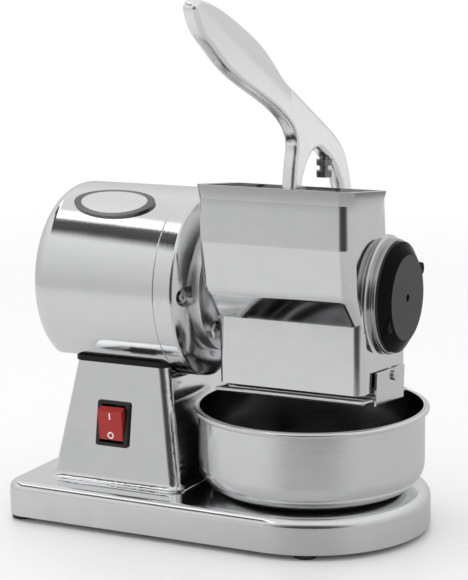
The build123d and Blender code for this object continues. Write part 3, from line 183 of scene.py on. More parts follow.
def polished_metal(
    name, dark, light, smooth, rough, turn=(0, 0, 0), wave=0.00012, lathe=0.0, across=1.0
):
    """Bright metal with buffing marks, slow waves and, on a lathe, fine rings about the X axis."""
    metal = bpy.data.materials.new(name)
    metal.use_nodes = True
    add = node_maker(metal.node_tree)
    place = add("ShaderNodeTexCoord")["Object"]
    marks = add(
        "ShaderNodeGroup",
        node_tree=buffing_marks,
        Streak_scale=900.0,
        Stretch=0.03,
        Stretch_across=across,
        Wave_scale=30.0,
        Place=add("ShaderNodeMapping", Vector=place, Rotation=turn)[0],
    )
    gloss = add(
        "ShaderNodeMapRange",
        Value=marks["Streak"],
        From_Min=0.3,
        From_Max=0.7,
        To_Min=smooth,
        To_Max=rough,
    )[0]
    waves = add("ShaderNodeBump", Distance=wave, Height=marks["Wave"])[0]
    along = add("ShaderNodeSeparateXYZ", Vector=place)["X"]
    rings = add("ShaderNodeTexNoise", noise_dimensions="1D", W=along, Scale=1500.0, Detail=6.0)["Fac"]
    tilt = add("ShaderNodeMapRange", Value=rings, To_Min=-lathe, To_Max=lathe)[0]
    lift = add("ShaderNodeCombineXYZ", Z=tilt)[0]
    leaned = add("ShaderNodeVectorMath", operation="ADD", i0=waves, i1=lift)[0]
    wire(
        metal.node_tree.nodes["Principled BSDF"],
        Metallic=1.0,
        Base_Color=mixed(add, marks["Cloud"], (*dark, 1), (*light, 1)),
        Roughness=gloss,
        Normal=add("ShaderNodeVectorMath", operation="NORMALIZE", i0=leaned)[0],
    )
    return metal


cast_polish = polished_metal(
    "cast_polish", (0.75, 0.755, 0.76), (0.83, 0.832, 0.835), smooth=0.07, rough=0.14
)
base_piece = welded_copy("base_casting", "base_and_pedestal")
finish_as(base_piece, cast_polish, "frame", "polished_casting", "base_casting")


# Bottom plate: a sheet of galvanised steel let into the base from below, with the run capacitor
# and the terminal block standing on it. The four rubber feet are screwed up through it.
def grain_group():
    """Fine grain: a close speckle, such as a mould or a plating bath leaves."""
    sizes = {"Grain scale": "Float", "Place": "Vector"}
    group = node_group("fine_grain", "ShaderNodeTree", sizes, {"Grain": "Float"})
    add = node_maker(group)
    get = add("NodeGroupInput")
    speckle = add("ShaderNodeTexNoise", Vector=get["Place"], Scale=get["Grain scale"], Detail=5.0)
    add("NodeGroupOutput", Grain=speckle["Fac"])
    return group


fine_grain = grain_group()


def grained_material(name, dark, light, rough, scale, metallic=0.0, specular=0.5):
    """Moulded, cast or plated stuff with a fine grain in its colour, gloss and surface."""
    grain_depth = 0.00005
    stuff = bpy.data.materials.new(name)
    stuff.use_nodes = True
    add = node_maker(stuff.node_tree)
    place = add("ShaderNodeTexCoord")["Object"]
    grain = add("ShaderNodeGroup", node_tree=fine_grain, Grain_scale=scale, Place=place)["Grain"]
    wire(
        stuff.node_tree.nodes["Principled BSDF"],
        Metallic=metallic,
        Specular_IOR_Level=specular,
        Base_Color=mixed(add, grain, (*dark, 1), (*light, 1)),
        Roughness=add("ShaderNodeMapRange", Value=grain, To_Min=rough * 0.8, To_Max=rough * 1.2)[0],
        Normal=add("ShaderNodeBump", Distance=grain_depth, Height=grain)[0],
    )
    return stuff


def dress(material, *node_names):
    """Puts a material on solids that keep their own mesh."""
    for name in node_names:
        solid = frame["nodes"][name].data
        solid.materials.clear()
        solid.materials.append(material)


zinc_plate = grained_material(
    "zinc_plate", (0.42, 0.43, 0.44), (0.55, 0.56, 0.57), rough=0.38, scale=90.0, metallic=1.0
)
foot_rubber = grained_material(
    "foot_rubber", (0.012, 0.012, 0.013), (0.025, 0.025, 0.026), rough=0.7, scale=900.0
)
screw_zinc = grained_material(
    "screw_zinc", (0.6, 0.6, 0.61), (0.78, 0.78, 0.79), rough=0.2, scale=500.0, metallic=1.0
)
can_aluminium = grained_material(
    "can_aluminium", (0.6, 0.6, 0.61), (0.7, 0.7, 0.71), rough=0.3, scale=200.0, metallic=1.0
)
terminal_nylon = grained_material(
    "terminal_nylon", (0.55, 0.53, 0.47), (0.65, 0.63, 0.57), rough=0.45, scale=300.0
)
dress(zinc_plate, "bottom_plate")
dress(foot_rubber, "rubber_feet")
dress(screw_zinc, "foot_screws", "motor_bolts", "capacitor_nut")
dress(can_aluminium, "capacitor")
dress(terminal_nylon, "terminal_block")


# Cord inlet: a black moulded gland pushed through the pedestal's rear wall and held by a nut
# behind the wall.
gland_nylon = grained_material(
    "gland_nylon", (0.014, 0.014, 0.015), (0.024, 0.024, 0.025), rough=0.45, scale=700.0
)
gland = welded_copy("cable_gland", "cord_gland")
finish_as(gland, gland_nylon, "frame", "black_plastic", "cable_gland")
dress(gland_nylon, "gland_nut")


# Rocker switch: a black moulded case clipped into the pedestal's front, with a red rocker that
# tilts on two pivots. Its two printed marks are the usual line for on and ring for off. In polished
# metal its red is painted almost black, a painted reflection.
def flat_mark(piece, outline, inner, at, across, up, thickness):
    """A thin printed mark: an outline on a plane, with a hole if an inner outline is given."""
    out = across.cross(up).normalized()
    shape = bmesh.new()

    def ring_of(points, lift):
        return [shape.verts.new(at + across * a + up * b + out * lift) for a, b in points]

    low, high = ring_of(outline, 0.0), ring_of(outline, thickness)
    count = len(outline)
    for i in range(count):
        j = (i + 1) % count
        shape.faces.new((low[i], low[j], high[j], high[i]))
    if inner:
        low_in, high_in = ring_of(inner, 0.0), ring_of(inner, thickness)
        for i in range(count):
            j = (i + 1) % count
            shape.faces.new((high[i], high[j], high_in[j], high_in[i]))
            shape.faces.new((low_in[i], low_in[j], low[j], low[i]))
            shape.faces.new((low_in[j], low_in[i], high_in[i], high_in[j]))
    else:
        shape.faces.new(high)
        shape.faces.new(low[::-1])
    bmesh.ops.recalc_face_normals(shape, faces=shape.faces)
    return piece_from(shape, piece)


def circle_points(radius, count=32):
    """Points of a circle on a mark's plane."""
    turn = 2 * math.pi / count
    return [(radius * math.cos(turn * i), radius * math.sin(turn * i)) for i in range(count)]


switch_black = grained_material(
    "switch_black", (0.008, 0.008, 0.009), (0.014, 0.014, 0.015), rough=0.22, scale=500.0
)
rocker_red = grained_material(
    "rocker_red", (0.36, 0.018, 0.014), (0.43, 0.026, 0.02), rough=0.24, scale=250.0
)
mark_white = grained_material(
    "mark_white", (0.78, 0.77, 0.75), (0.86, 0.85, 0.83), rough=0.4, scale=900.0
)
switch_case = welded_copy("switch_body", "switch_case")
finish_as(switch_case, switch_black, "frame", "black_plastic", "switch_body")
red_rocker = welded_copy("switch_rocker", "red_rocker", edge_mm=0.2)
finish_as(red_rocker, rocker_red, "rocker", "red_plastic", "switch_rocker")
# In reflections the rocker's red is painted almost black: a painted reflection.
red_painted_reflection = (0.03, 0.028, 0.028, 1)
add_red = node_maker(rocker_red.node_tree)
red_shade = rocker_red.node_tree.nodes["Principled BSDF"]
red_tone = red_shade.inputs["Base Color"].links[0].from_socket
in_a_mirror = add_red("ShaderNodeLightPath")["Is Glossy Ray"]
wire(red_shade, Base_Color=mixed(add_red, in_a_mirror, red_tone, red_painted_reflection))
pivots = {joint["name"]: joint["pos_m"] for joint in frame["joints"] if "pos_m" in joint}
wall_lean = math.radians(9.5)
rocker_lean = math.radians(14.0)
rocker_face = 0.0052
mark_gap = 0.00001
mark_t = 0.00006
mark_offset = 0.0069
bar_half_w = 0.0005
bar_half_h = 0.0023
ring_outer_r = 0.0025
ring_inner_r = 0.0015
right_way = Vector((1, 0, 0))
up_way = Vector((0, math.sin(wall_lean - rocker_lean), math.cos(wall_lean - rocker_lean)))
face_middle = Vector(pivots["rocker_tilt"]) + right_way.cross(up_way) * (rocker_face + mark_gap)
bar = [
    (-bar_half_w, -bar_half_h),
    (bar_half_w, -bar_half_h),
    (bar_half_w, bar_half_h),
    (-bar_half_w, bar_half_h),
]
on_at = face_middle + up_way * mark_offset
off_at = face_middle - up_way * mark_offset
ring_outer, ring_inner = circle_points(ring_outer_r), circle_points(ring_inner_r)
on_mark = flat_mark("on_mark", bar, None, on_at, right_way, up_way, mark_t)
off_mark = flat_mark("off_mark", ring_outer, ring_inner, off_at, right_way, up_way, mark_t)
finish_as(on_mark, mark_white, "rocker", "pale_plastic")
finish_as(off_mark, mark_white, "rocker", "pale_plastic")


# Gasket: a sheet of black rubber, 4 mm thick, clamped between the pedestal's head and the motor's
# flat foot. Its edge stands out a little all round.
gasket_rubber = grained_material(
    "gasket_rubber",
    (0.006, 0.006, 0.006),
    (0.012, 0.012, 0.012),
    rough=0.5,
    scale=800.0,
    specular=0.25,
)
gasket = welded_copy("motor_gasket", "rubber_gasket", edge_mm=0.5)
finish_as(gasket, gasket_rubber, "frame", "black_rubber", "motor_gasket")


# Motor: a turned and polished aluminium cup with stator and rotor inside, closed by an end
# shield that has three socket screws in pockets.
turned_polish = polished_metal(
    "turned_polish",
    (0.76, 0.765, 0.77),
    (0.82, 0.822, 0.825),
    smooth=0.04,
    rough=0.09,
    wave=0.00004,
    lathe=0.045,
)


def smooth_step(add, value, start, end):
    """Mask that grows from nothing to full as a value goes from start to end."""
    return add(
        "ShaderNodeMapRange",
        interpolation_type="SMOOTHSTEP",
        Value=value,
        From_Min=start,
        From_Max=end,
    )[0]


def unpolished_and_shaded_group():
    """Metal that gets duller between two places, where the polishing wheel can't reach, and darker
    there as painted shade.
    """
    group = node_group(
        "unpolished_and_shaded",
        "ShaderNodeTree",
        {
            "Along": "Float",
            "Start": "Float",
            "End": "Float",
            "Colour": "Color",
            "Tone": "Float",
            "Gloss": "Float",
            "Dull gloss": "Float",
        },
        {"Colour": "Color", "Gloss": "Float"},
    )
    add = node_maker(group)
    get = add("NodeGroupInput")
    share = smooth_step(add, get["Along"], get["Start"], get["End"])
    colour = mixed(add, share, get["Colour"], get["Tone"], "MULTIPLY")
    gloss = add("ShaderNodeMix", Factor=share, A=get["Gloss"], B=get["Dull gloss"])["Result"]
    add("NodeGroupOutput", Colour=colour, Gloss=gloss)
    return group


unpolished_and_shaded = unpolished_and_shaded_group()


def dull_and_shade_along(metal, axis, start, end, rough=None, tone=1.0):
    """Makes a metal duller, darker as painted shade, or both, where a coordinate goes from start to
    end.
    """
    add = node_maker(metal.node_tree)
    shade = metal.node_tree.nodes["Principled BSDF"]
    place = add("ShaderNodeTexCoord")["Object"]
    reach = add(
        "ShaderNodeGroup",
        node_tree=unpolished_and_shaded,
        Along=add("ShaderNodeSeparateXYZ", Vector=place)[axis],
        Start=start,
        End=end,
        Colour=shade.inputs["Base Color"].links[0].from_socket,
        Tone=tone,
        Gloss=shade.inputs["Roughness"].links[0].from_socket,
    )
    wire(shade, Base_Color=reach["Colour"])
    if rough is not None:
        wire(reach["Gloss"].node, Dull_gloss=rough)
        wire(shade, Roughness=reach["Gloss"])


shield_dull_from = -0.0725
shield_dull_to = -0.0695
dull_and_shade_along(turned_polish, "X", shield_dull_from, shield_dull_to, rough=0.2)
motor_cup = welded_copy("motor_housing", "motor_cup")
finish_as(motor_cup, turned_polish, "frame", "polished_casting", "motor_housing")
end_shield = welded_copy("front_shield", "end_shield")
finish_as(end_shield, turned_polish, "frame", "polished_casting", "front_shield")
shield_heads = welded_copy("shield_screws", "shield_socket_screws", edge_mm=0.3)
finish_as(shield_heads, screw_zinc, "frame", "steel", "shield_screws")
lamination_steel = grained_material(
    "lamination_steel", (0.16, 0.16, 0.17), (0.25, 0.25, 0.26), rough=0.45, scale=300.0, metallic=1.0
)
winding_copper = grained_material(
    "winding_copper", (0.35, 0.12, 0.05), (0.5, 0.2, 0.09), rough=0.35, scale=600.0, metallic=1.0
)
ring_aluminium = grained_material(
    "ring_aluminium", (0.5, 0.5, 0.51), (0.6, 0.6, 0.61), rough=0.35, scale=300.0, metallic=1.0
)
ground_steel = grained_material(
    "ground_steel", (0.5, 0.5, 0.51), (0.6, 0.6, 0.61), rough=0.2, scale=600.0, metallic=1.0
)
dress(lamination_steel, "stator_core", "rotor_core")
dress(winding_copper, "stator_windings")
dress(ring_aluminium, "rotor_end_rings")
dress(ground_steel, "motor_shaft", "front_bearing", "rear_bearing", "bearing_spring")


# Badge: an oval of pressed aluminium on the motor's shoulder, 62 by 29 mm, bare, with a dark
# border pressed round a bright brushed field.
def badge_material(name, middle, lean_deg, half_x, half_y):
    """Brushed field inside a dark rounded border, drawn in the oval's own plane."""
    border_start = 0.80
    border_full = 0.84
    groove_depth = 0.0004
    field_dark = (0.74, 0.74, 0.75, 1)
    field_light = (0.9, 0.9, 0.91, 1)
    border_grey = (0.2, 0.2, 0.21, 1)
    stuff = bpy.data.materials.new(name)
    stuff.use_nodes = True
    add = node_maker(stuff.node_tree)
    flat = add(
        "ShaderNodeMapping",
        vector_type="TEXTURE",
        Vector=add("ShaderNodeTexCoord")["Object"],
        Location=middle,
        Rotation=(math.radians(lean_deg), 0, 0),
        Scale=(half_x, half_y, 1.0),
    )[0]
    plane = add("ShaderNodeVectorMath", operation="MULTIPLY", i0=flat, i1=(1, 1, 0))[0]
    reach = add("ShaderNodeVectorMath", operation="LENGTH", i0=plane)["Value"]
    border = smooth_step(add, reach, border_start, border_full)
    pulled = add("ShaderNodeVectorMath", operation="MULTIPLY", i0=flat, i1=(0.15, 4.0, 0.0))[0]
    brushed = add("ShaderNodeTexNoise", Vector=pulled, Scale=60.0, Detail=4.0)["Fac"]
    field = mixed(add, brushed, field_dark, field_light)
    wire(
        stuff.node_tree.nodes["Principled BSDF"],
        Metallic=1.0,
        Base_Color=mixed(add, border, field, border_grey),
        Roughness=add("ShaderNodeMapRange", Value=border, To_Min=0.34, To_Max=0.18)[0],
        Normal=add("ShaderNodeBump", Distance=groove_depth, Height=border)[0],
    )
    return stuff


badge_low, badge_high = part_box("badge_plate")
badge_y = -0.0334
badge_z = 0.2219
badge_middle = ((badge_low[0] + badge_high[0]) / 2, badge_y, badge_z)
badge_metal = badge_material("badge_metal", badge_middle, lean_deg=30.0, half_x=0.031, half_y=0.0145)
badge = welded_copy("badge_plate", "badge_oval", edge_mm=0.5)
finish_as(badge, badge_metal, "frame", "badge", "badge_plate")


# Hopper: one polished casting with the feed shaft, the drum housing, the outlet chute, the round
# flange that bolts to the motor and two hinge ears behind. The wheel hardly reaches its flange and
# its collar, which stay duller; the collar and the band under its rim are also painted darker, as
# painted shade.
hopper_polish = polished_metal(
    "hopper_polish", (0.74, 0.745, 0.75), (0.83, 0.832, 0.835), smooth=0.06, rough=0.1
)
hopper = welded_copy("hopper_casting", "hopper", crease_deg=14, edge_mm=0.6)
finish_as(hopper, hopper_polish, "frame", "polished_casting", "hopper_casting")
flange_dull_from = -0.0490
flange_dull_to = -0.0545
collar_dull_shade_from = 0.0553
collar_dull_shade_to = 0.0565
rim_painted_shade_from = 0.2245
rim_painted_shade_to = 0.240
# The flange and collar are duller; the collar and the band under the rim are painted darker as painted
# shade.
dull_and_shade_along(hopper_polish, "X", flange_dull_from, flange_dull_to, rough=0.3)
dull_and_shade_along(hopper_polish, "X", collar_dull_shade_from, collar_dull_shade_to, rough=0.16, tone=0.5)
dull_and_shade_along(hopper_polish, "Z", rim_painted_shade_from, rim_painted_shade_to, tone=0.62)
seal_rubber = grained_material(
    "seal_rubber", (0.012, 0.012, 0.013), (0.022, 0.022, 0.023), rough=0.5, scale=800.0
)
dress(seal_rubber, "shaft_seal", "cap_seal")


# Flange bolts: four zinc-plated hex bolts on a 76 mm circle. Each head has the usual chamfer,
# and its shank goes through the hopper's flange into the end shield.
def hex_bolt(name, across_flats, head, shank_r, shank, chamfer_share=0.95, chamfer_deg=30):
    """A hex bolt along Z with its seat at zero: the chamfer cuts round arcs into the flats."""
    steps, half = 36, across_flats / 2
    chamfer_r = half * chamfer_share
    slope = math.tan(math.radians(chamfer_deg))
    shape = bmesh.new()
    turn = [2 * math.pi * i / steps for i in range(steps)]
    hexagon = [half / math.cos((t + math.pi / 6) % (math.pi / 3) - math.pi / 6) for t in turn]
    levels = [
        [(shank_r, -shank)] * steps,
        [(shank_r, 0.0)] * steps,
        [(r, 0.0) for r in hexagon],
        [(r, head - (r - chamfer_r) * slope) for r in hexagon],
        [(chamfer_r, head)] * steps,
    ]
    rings = [
        [shape.verts.new((r * math.cos(t), r * math.sin(t), z)) for t, (r, z) in zip(turn, level)]
        for level in levels
    ]
    for low, high in zip(rings, rings[1:]):
        for i in range(steps):
            j = (i + 1) % steps
            shape.faces.new((low[i], low[j], high[j], high[i]))
    shape.faces.new(rings[0][::-1])
    shape.faces.new(rings[-1])
    bmesh.ops.recalc_face_normals(shape, faces=shape.faces)
    return piece_from(shape, name)


def made_by_nodes(piece, tree, **given):
    """Runs a node tree on an empty mesh and keeps what it makes as a plain mesh."""
    seed = set_down(piece + "_seed", bpy.data.meshes.new(piece + "_seed"))
    maker = seed.modifiers.new("maker", "NODES")
    maker.node_group = tree
    for item in tree.interface.items_tree:
        if item.item_type == "SOCKET" and item.in_out == "INPUT" and item.name in given:
            maker[item.identifier] = given[item.name]
    bpy.context.view_layer.update()
    ready = seed.evaluated_get(bpy.context.evaluated_depsgraph_get())
    mesh = bpy.data.meshes.new_from_object(ready)
    mesh.name = piece
    bpy.data.objects.remove(seed)
    return set_down(piece, mesh)


def ring_tree():
    """Copies of one part on a circle across the motor axis, each with its Z along X."""
    tree = node_group(
        "ring_of_parts",
        "GeometryNodeTree",
        {
            "Geometry": "Geometry",
            "Part": "Object",
            "Count": "Int",
            "Circle radius": "Float",
            "First angle": "Float",
            "Seat x": "Float",
            "Axis z": "Float",
            "Finish": "Material",
        },
        {"Geometry": "Geometry"},
    )
    add = node_maker(tree)
    get = add("NodeGroupInput")
    circle = add("GeometryNodeMeshCircle", Vertices=get["Count"], Radius=get["Circle radius"])[0]
    first = add("ShaderNodeCombineXYZ", Z=get["First angle"])[0]
    turned = add("GeometryNodeTransform", Geometry=circle, Rotation=first)[0]
    part = add("GeometryNodeObjectInfo", Object=get["Part"])["Geometry"]
    copies = add("GeometryNodeInstanceOnPoints", Points=turned, Instance=part)[0]
    stood = add(
        "GeometryNodeTransform",
        Geometry=copies,
        Translation=add("ShaderNodeCombineXYZ", X=get["Seat x"], Z=get["Axis z"])[0],
        Rotation=(0.0, math.radians(90), 0.0),
    )[0]
    real = add("GeometryNodeRealizeInstances", Geometry=stood)[0]
    painted = add("GeometryNodeSetMaterial", Geometry=real, Material=get["Finish"])[0]
    add("NodeGroupOutput", Geometry=painted)
    return tree


motor_axis_z = pivots["drum_spin"][2]
bolt_head = 0.004
one_bolt = hex_bolt("one_flange_bolt", across_flats=0.010, head=bolt_head, shank_r=0.003, shank=0.0088)
flange_bolts = made_by_nodes(
    "flange_bolts",
    ring_tree(),
    **{
        "Part": one_bolt,
        "Count": 4,
        "Circle radius": 0.038,
        "First angle": math.radians(45),
        "Seat x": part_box("hopper_bolts")[1][0] - bolt_head,
        "Axis z": motor_axis_z,
        "Finish": screw_zinc,
    },
)
bpy.data.objects.remove(one_bolt)
finish_as(flange_bolts, screw_zinc, "frame", "steel", "hopper_bolts")


# Grating drum: a rolled stainless sleeve on two discs, pinned to the shaft and kept on it by a
# domed nut. Each hole is pierced from inside, which leaves a ring of sharp points outside.
def tooth_burr(name, foot_r, tip_r, low, high, points):
    """The torn rim of one pierced hole, along Z, with every other point taller."""
    sunk = 0.0002
    burr_t = 0.0002
    throat_r = tip_r - burr_t
    shape = bmesh.new()
    count = 2 * points
    turn = [2 * math.pi * i / count for i in range(count)]

    def ring_at(radius, heights):
        return [
            shape.verts.new((radius * math.cos(t), radius * math.sin(t), z))
            for t, z in zip(turn, heights)
        ]

    foot = ring_at(foot_r, [-sunk] * count)
    tips = ring_at(tip_r, [low, high] * points)
    throat = ring_at(throat_r, [-sunk] * count)
    for i in range(count):
        j = (i + 1) % count
        shape.faces.new((foot[i], foot[j], tips[j], tips[i]))
        shape.faces.new((tips[i], tips[j], throat[j], throat[i]))
        shape.faces.new((throat[i], throat[j], foot[j], foot[i]))
    bmesh.ops.recalc_face_normals(shape, faces=shape.faces)
    return piece_from(shape, name)


def maths(add, operation, a, b=0.0):
    """One step of arithmetic on values of a node tree."""
    return add("ShaderNodeMath", operation=operation, i0=a, i1=b)[0]


def drum_teeth_tree():
    """Staggered columns of one tooth over a drum along X."""
    tree = node_group(
        "drum_teeth",
        "GeometryNodeTree",
        {
            "Geometry": "Geometry",
            "Tooth": "Object",
            "Rows": "Int",
            "Columns": "Int",
            "Pitch": "Float",
            "Drum radius": "Float",
            "Middle x": "Float",
            "Axis z": "Float",
            "Finish": "Material",
        },
        {"Geometry": "Geometry"},
    )
    add = node_maker(tree)
    get = add("NodeGroupInput")
    index = add("GeometryNodeInputIndex")[0]
    row = maths(add, "MODULO", index, get["Rows"])
    column = maths(add, "FLOOR", maths(add, "DIVIDE", index, get["Rows"]))
    odd_column = maths(add, "MODULO", column, 2.0)
    stagger = maths(add, "MULTIPLY", maths(add, "SUBTRACT", odd_column, 0.5), 0.5)
    middle_row = maths(add, "MULTIPLY", maths(add, "SUBTRACT", get["Rows"], 1.0), 0.5)
    step = maths(add, "ADD", maths(add, "SUBTRACT", row, middle_row), stagger)
    along = maths(add, "MULTIPLY", step, get["Pitch"])
    angle = maths(add, "MULTIPLY", maths(add, "DIVIDE", column, get["Columns"]), 2 * math.pi)
    out_y, out_z = maths(add, "COSINE", angle), maths(add, "SINE", angle)
    outward = add("ShaderNodeCombineXYZ", Y=out_y, Z=out_z)[0]
    place = add(
        "ShaderNodeCombineXYZ",
        X=maths(add, "ADD", along, get["Middle x"]),
        Y=maths(add, "MULTIPLY", out_y, get["Drum radius"]),
        Z=maths(add, "ADD", maths(add, "MULTIPLY", out_z, get["Drum radius"]), get["Axis z"]),
    )[0]
    count = maths(add, "MULTIPLY", get["Rows"], get["Columns"])
    copies = add(
        "GeometryNodeInstanceOnPoints",
        Points=add("GeometryNodePoints", Count=count, Position=place)[0],
        Instance=add("GeometryNodeObjectInfo", Object=get["Tooth"])["Geometry"],
        Rotation=add("FunctionNodeAlignRotationToVector", axis="Z", Vector=outward)[0],
    )[0]
    real = add("GeometryNodeRealizeInstances", Geometry=copies)[0]
    painted = add("GeometryNodeSetMaterial", Geometry=real, Material=get["Finish"])[0]
    add("NodeGroupOutput", Geometry=painted)
    return tree


drum_steel = grained_material(
    "drum_steel", (0.5, 0.5, 0.51), (0.62, 0.62, 0.63), rough=0.22, scale=400.0, metallic=1.0
)
sleeve_low, sleeve_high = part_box("grating_sleeve")
tooth_rows = 8
tooth_columns = 14
toothed_length = 0.084
one_tooth = tooth_burr("one_tooth", foot_r=0.0021, tip_r=0.0017, low=0.00025, high=0.0007, points=6)
drum_teeth = made_by_nodes(
    "drum_teeth",
    drum_teeth_tree(),
    **{
        "Tooth": one_tooth,
        "Rows": tooth_rows,
        "Columns": tooth_columns,
        "Pitch": toothed_length / (tooth_rows + 1),
        "Drum radius": (sleeve_high[1] - sleeve_low[1]) / 2,
        "Middle x": (sleeve_low[0] + sleeve_high[0]) / 2,
        "Axis z": motor_axis_z,
        "Finish": drum_steel,
    },
)
bpy.data.objects.remove(one_tooth)
finish_as(drum_teeth, drum_steel, "drum", "stainless")
dress(drum_steel, "grating_sleeve", "drum_end_inner", "drum_end_outer", "drum_drive_pin", "drum_nut")


# Screw cap: a black moulded cover that screws onto the drum housing's collar. Its face has a
# little shine, and its sloping edge with the two grip pegs is a deeper black.
cap_black = grained_material(
    "cap_black", (0.008, 0.008, 0.008), (0.013, 0.013, 0.013), rough=0.24, scale=350.0, specular=0.25
)
cap_edge_black = grained_material(
    "cap_edge_black",
    (0.004, 0.004, 0.004),
    (0.007, 0.007, 0.007),
    rough=0.16,
    scale=350.0,
    specular=0.02,
)
cap = welded_copy("drum_cap", "screw_cap", edge_mm=0.5)
finish_as(cap, cap_black, "cap", "black_plastic", "drum_cap")
cap.data.materials.append(cap_edge_black)
cap_face_r = 0.0284
for face in cap.data.polygons:
    if math.hypot(face.center.y, face.center.z - motor_axis_z) > cap_face_r:
        face.material_index = 1


# Finger guard: stainless rods welded to two thin side plates, so that no finger reaches the drum
# from below. Each plate is held to the chute by one pan-head screw.
guard_steel = polished_metal(
    "guard_steel", (0.68, 0.68, 0.69), (0.8, 0.8, 0.81), smooth=0.1, rough=0.18
)
guard = welded_copy("outlet_guard", "outlet_guard_rods", edge_mm=0.2)
finish_as(guard, guard_steel, "frame", "stainless", "outlet_guard")
guard_heads = welded_copy("guard_screws", "guard_pan_screws", edge_mm=0.8)
finish_as(guard_heads, screw_zinc, "frame", "steel", "guard_screws")


# Lever: a flat polished casting that forks over the hopper's rear wall, with a leaf-shaped grip.
# The presser hangs on its front leg, and a bolt under its arch stops it over the drum.
lever_lean = math.radians(62)
lever_polish = polished_metal(
    "lever_polish",
    (0.9, 0.905, 0.91),
    (0.96, 0.962, 0.965),
    smooth=0.17,
    rough=0.22,
    turn=(lever_lean, 0, math.radians(90)),
    wave=0.00003,
)
lever = welded_copy("lever_arm", "lever", edge_mm=0.4)
finish_as(lever, lever_polish, "lever", "polished_casting", "lever_arm")
presser_metal = polished_metal(
    "presser_metal", (0.66, 0.66, 0.67), (0.78, 0.78, 0.79), smooth=0.18, rough=0.3
)
presser = welded_copy("presser_pad", "presser", edge_mm=0.5)
finish_as(presser, presser_metal, "lever", "polished_casting", "presser_pad")
hinge = welded_copy("hinge_pin", "lever_hinge_pin", edge_mm=0.4)
finish_as(hinge, screw_zinc, "frame", "shaft_steel", "hinge_pin")
# The stop bolt and its nut are dark grey: painted shade under the lever's arch.
stop_steel_painted_shade = grained_material(
    "stop_steel_painted_shade", (0.2, 0.2, 0.205), (0.3, 0.3, 0.305), rough=0.22, scale=500.0, metallic=1.0
)
stop_screw = welded_copy("stop_bolt", "lever_stop_bolt", edge_mm=0.4)
finish_as(stop_screw, stop_steel_painted_shade, "lever", "steel", "stop_bolt")
stop_nut = welded_copy("stop_locknut", "lever_stop_nut", edge_mm=0.4)
finish_as(stop_nut, stop_steel_painted_shade, "lever", "steel", "stop_locknut")
dress(screw_zinc, "presser_screws", "pin_clip")


# Bowl: spun from stainless sheet, 161 mm across its rolled rim and 57 mm deep. It is polished
# outside and left satin inside, where its colour is painted dark as painted shade.
bowl_polish = polished_metal(
    "bowl_polish",
    (0.74, 0.745, 0.75),
    (0.82, 0.822, 0.825),
    smooth=0.16,
    rough=0.26,
    wave=0.00006,
    across=0.03,
)
# Satin inside, with its dark colour painted shade in the bowl's hollow.
bowl_satin_painted_shade = polished_metal(
    "bowl_satin_painted_shade",
    (0.2, 0.2, 0.205),
    (0.27, 0.27, 0.275),
    smooth=0.12,
    rough=0.2,
    wave=0.0001,
    across=0.03,
)
bowl = welded_copy("bowl", "steel_bowl", edge_mm=0)
finish_as(bowl, bowl_polish, "bowl", "stainless", "bowl")
bowl.data.materials.append(bowl_satin_painted_shade)
rim_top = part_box("bowl")[1][2]
rim_depth = 0.0038
least_turn = 0.2
for face in bowl.data.polygons:
    outward = Vector((face.center.x, face.center.y, 0)).normalized()
    looks_in = face.normal.dot(outward) < -least_turn or face.normal.z > least_turn
    if looks_in and face.center.z < rim_top - rim_depth:
        face.material_index = 1


# Studio floor: a sheet of white paper that fades out all round, and sooner towards the front
# right. Polished metal sees it as a painted reflection, dimmer than the camera does and darker to
# the right as painted shade.
def grey(level):
    """A neutral colour of that brightness."""
    return (level, level, level, 1)


floor_middle = Vector((-0.25, 0.1, 0))
floor_r = 1.4
fade_from_r = 0.5
fade_to_r = 1.35
slant = 0.7
slant_fade_from = -0.36
slant_fade_to = -0.8
dim_from_x = -0.14
dim_to_x = 0.06
paper_level = 0.98
left_level_in_metal = 0.68
right_level_in_metal = 0.53
floor_disc = bmesh.new()
floor_place = Matrix.Translation(floor_middle)
bmesh.ops.create_circle(floor_disc, cap_ends=True, segments=128, radius=floor_r, matrix=floor_place)
floor = piece_from(floor_disc, "studio_floor")
paper = bpy.data.materials.new("white_paper")
paper.use_nodes = True
floor.data.materials.append(paper)
add_paper = node_maker(paper.node_tree)
spot = add_paper("ShaderNodeTexCoord")["Object"]
spot_parts = add_paper("ShaderNodeSeparateXYZ", Vector=spot)
away = add_paper("ShaderNodeVectorMath", operation="DISTANCE", i0=spot, i1=floor_middle)["Value"]
within = smooth_step(add_paper, away, fade_to_r, fade_from_r)
aside = maths(add_paper, "MULTIPLY", spot_parts["X"], slant)
inward = maths(add_paper, "SUBTRACT", spot_parts["Y"], aside)
not_in_front = smooth_step(add_paper, inward, slant_fade_to, slant_fade_from)
# In reflections the paper is painted dimmer, and darker towards the right as painted shade.
painted_shade_to_right = smooth_step(add_paper, spot_parts["X"], dim_from_x, dim_to_x)
paper_painted_reflection = mixed(
    add_paper, painted_shade_to_right, grey(left_level_in_metal), grey(right_level_in_metal)
)
seen_in_metal = add_paper("ShaderNodeLightPath")["Is Glossy Ray"]
wire(
    paper.node_tree.nodes["Principled BSDF"],
    Roughness=0.3,
    Alpha=maths(add_paper, "MULTIPLY", within, not_in_front),
    Base_Color=mixed(add_paper, seen_in_metal, grey(paper_level), paper_painted_reflection),
)


# Studio room: white walls with one long soft box high on the left and a dark gap below it. The
# side where the camera stands is unlit. Polished metal sees the walls dimmer than the camera does.
def compass(azimuth_deg, elevation_deg=0.0):
    """Direction in the room: azimuth from the front towards the right, elevation upwards."""
    a, e = math.radians(azimuth_deg), math.radians(elevation_deg)
    return (math.sin(a) * math.cos(e), -math.cos(a) * math.cos(e), math.sin(e))


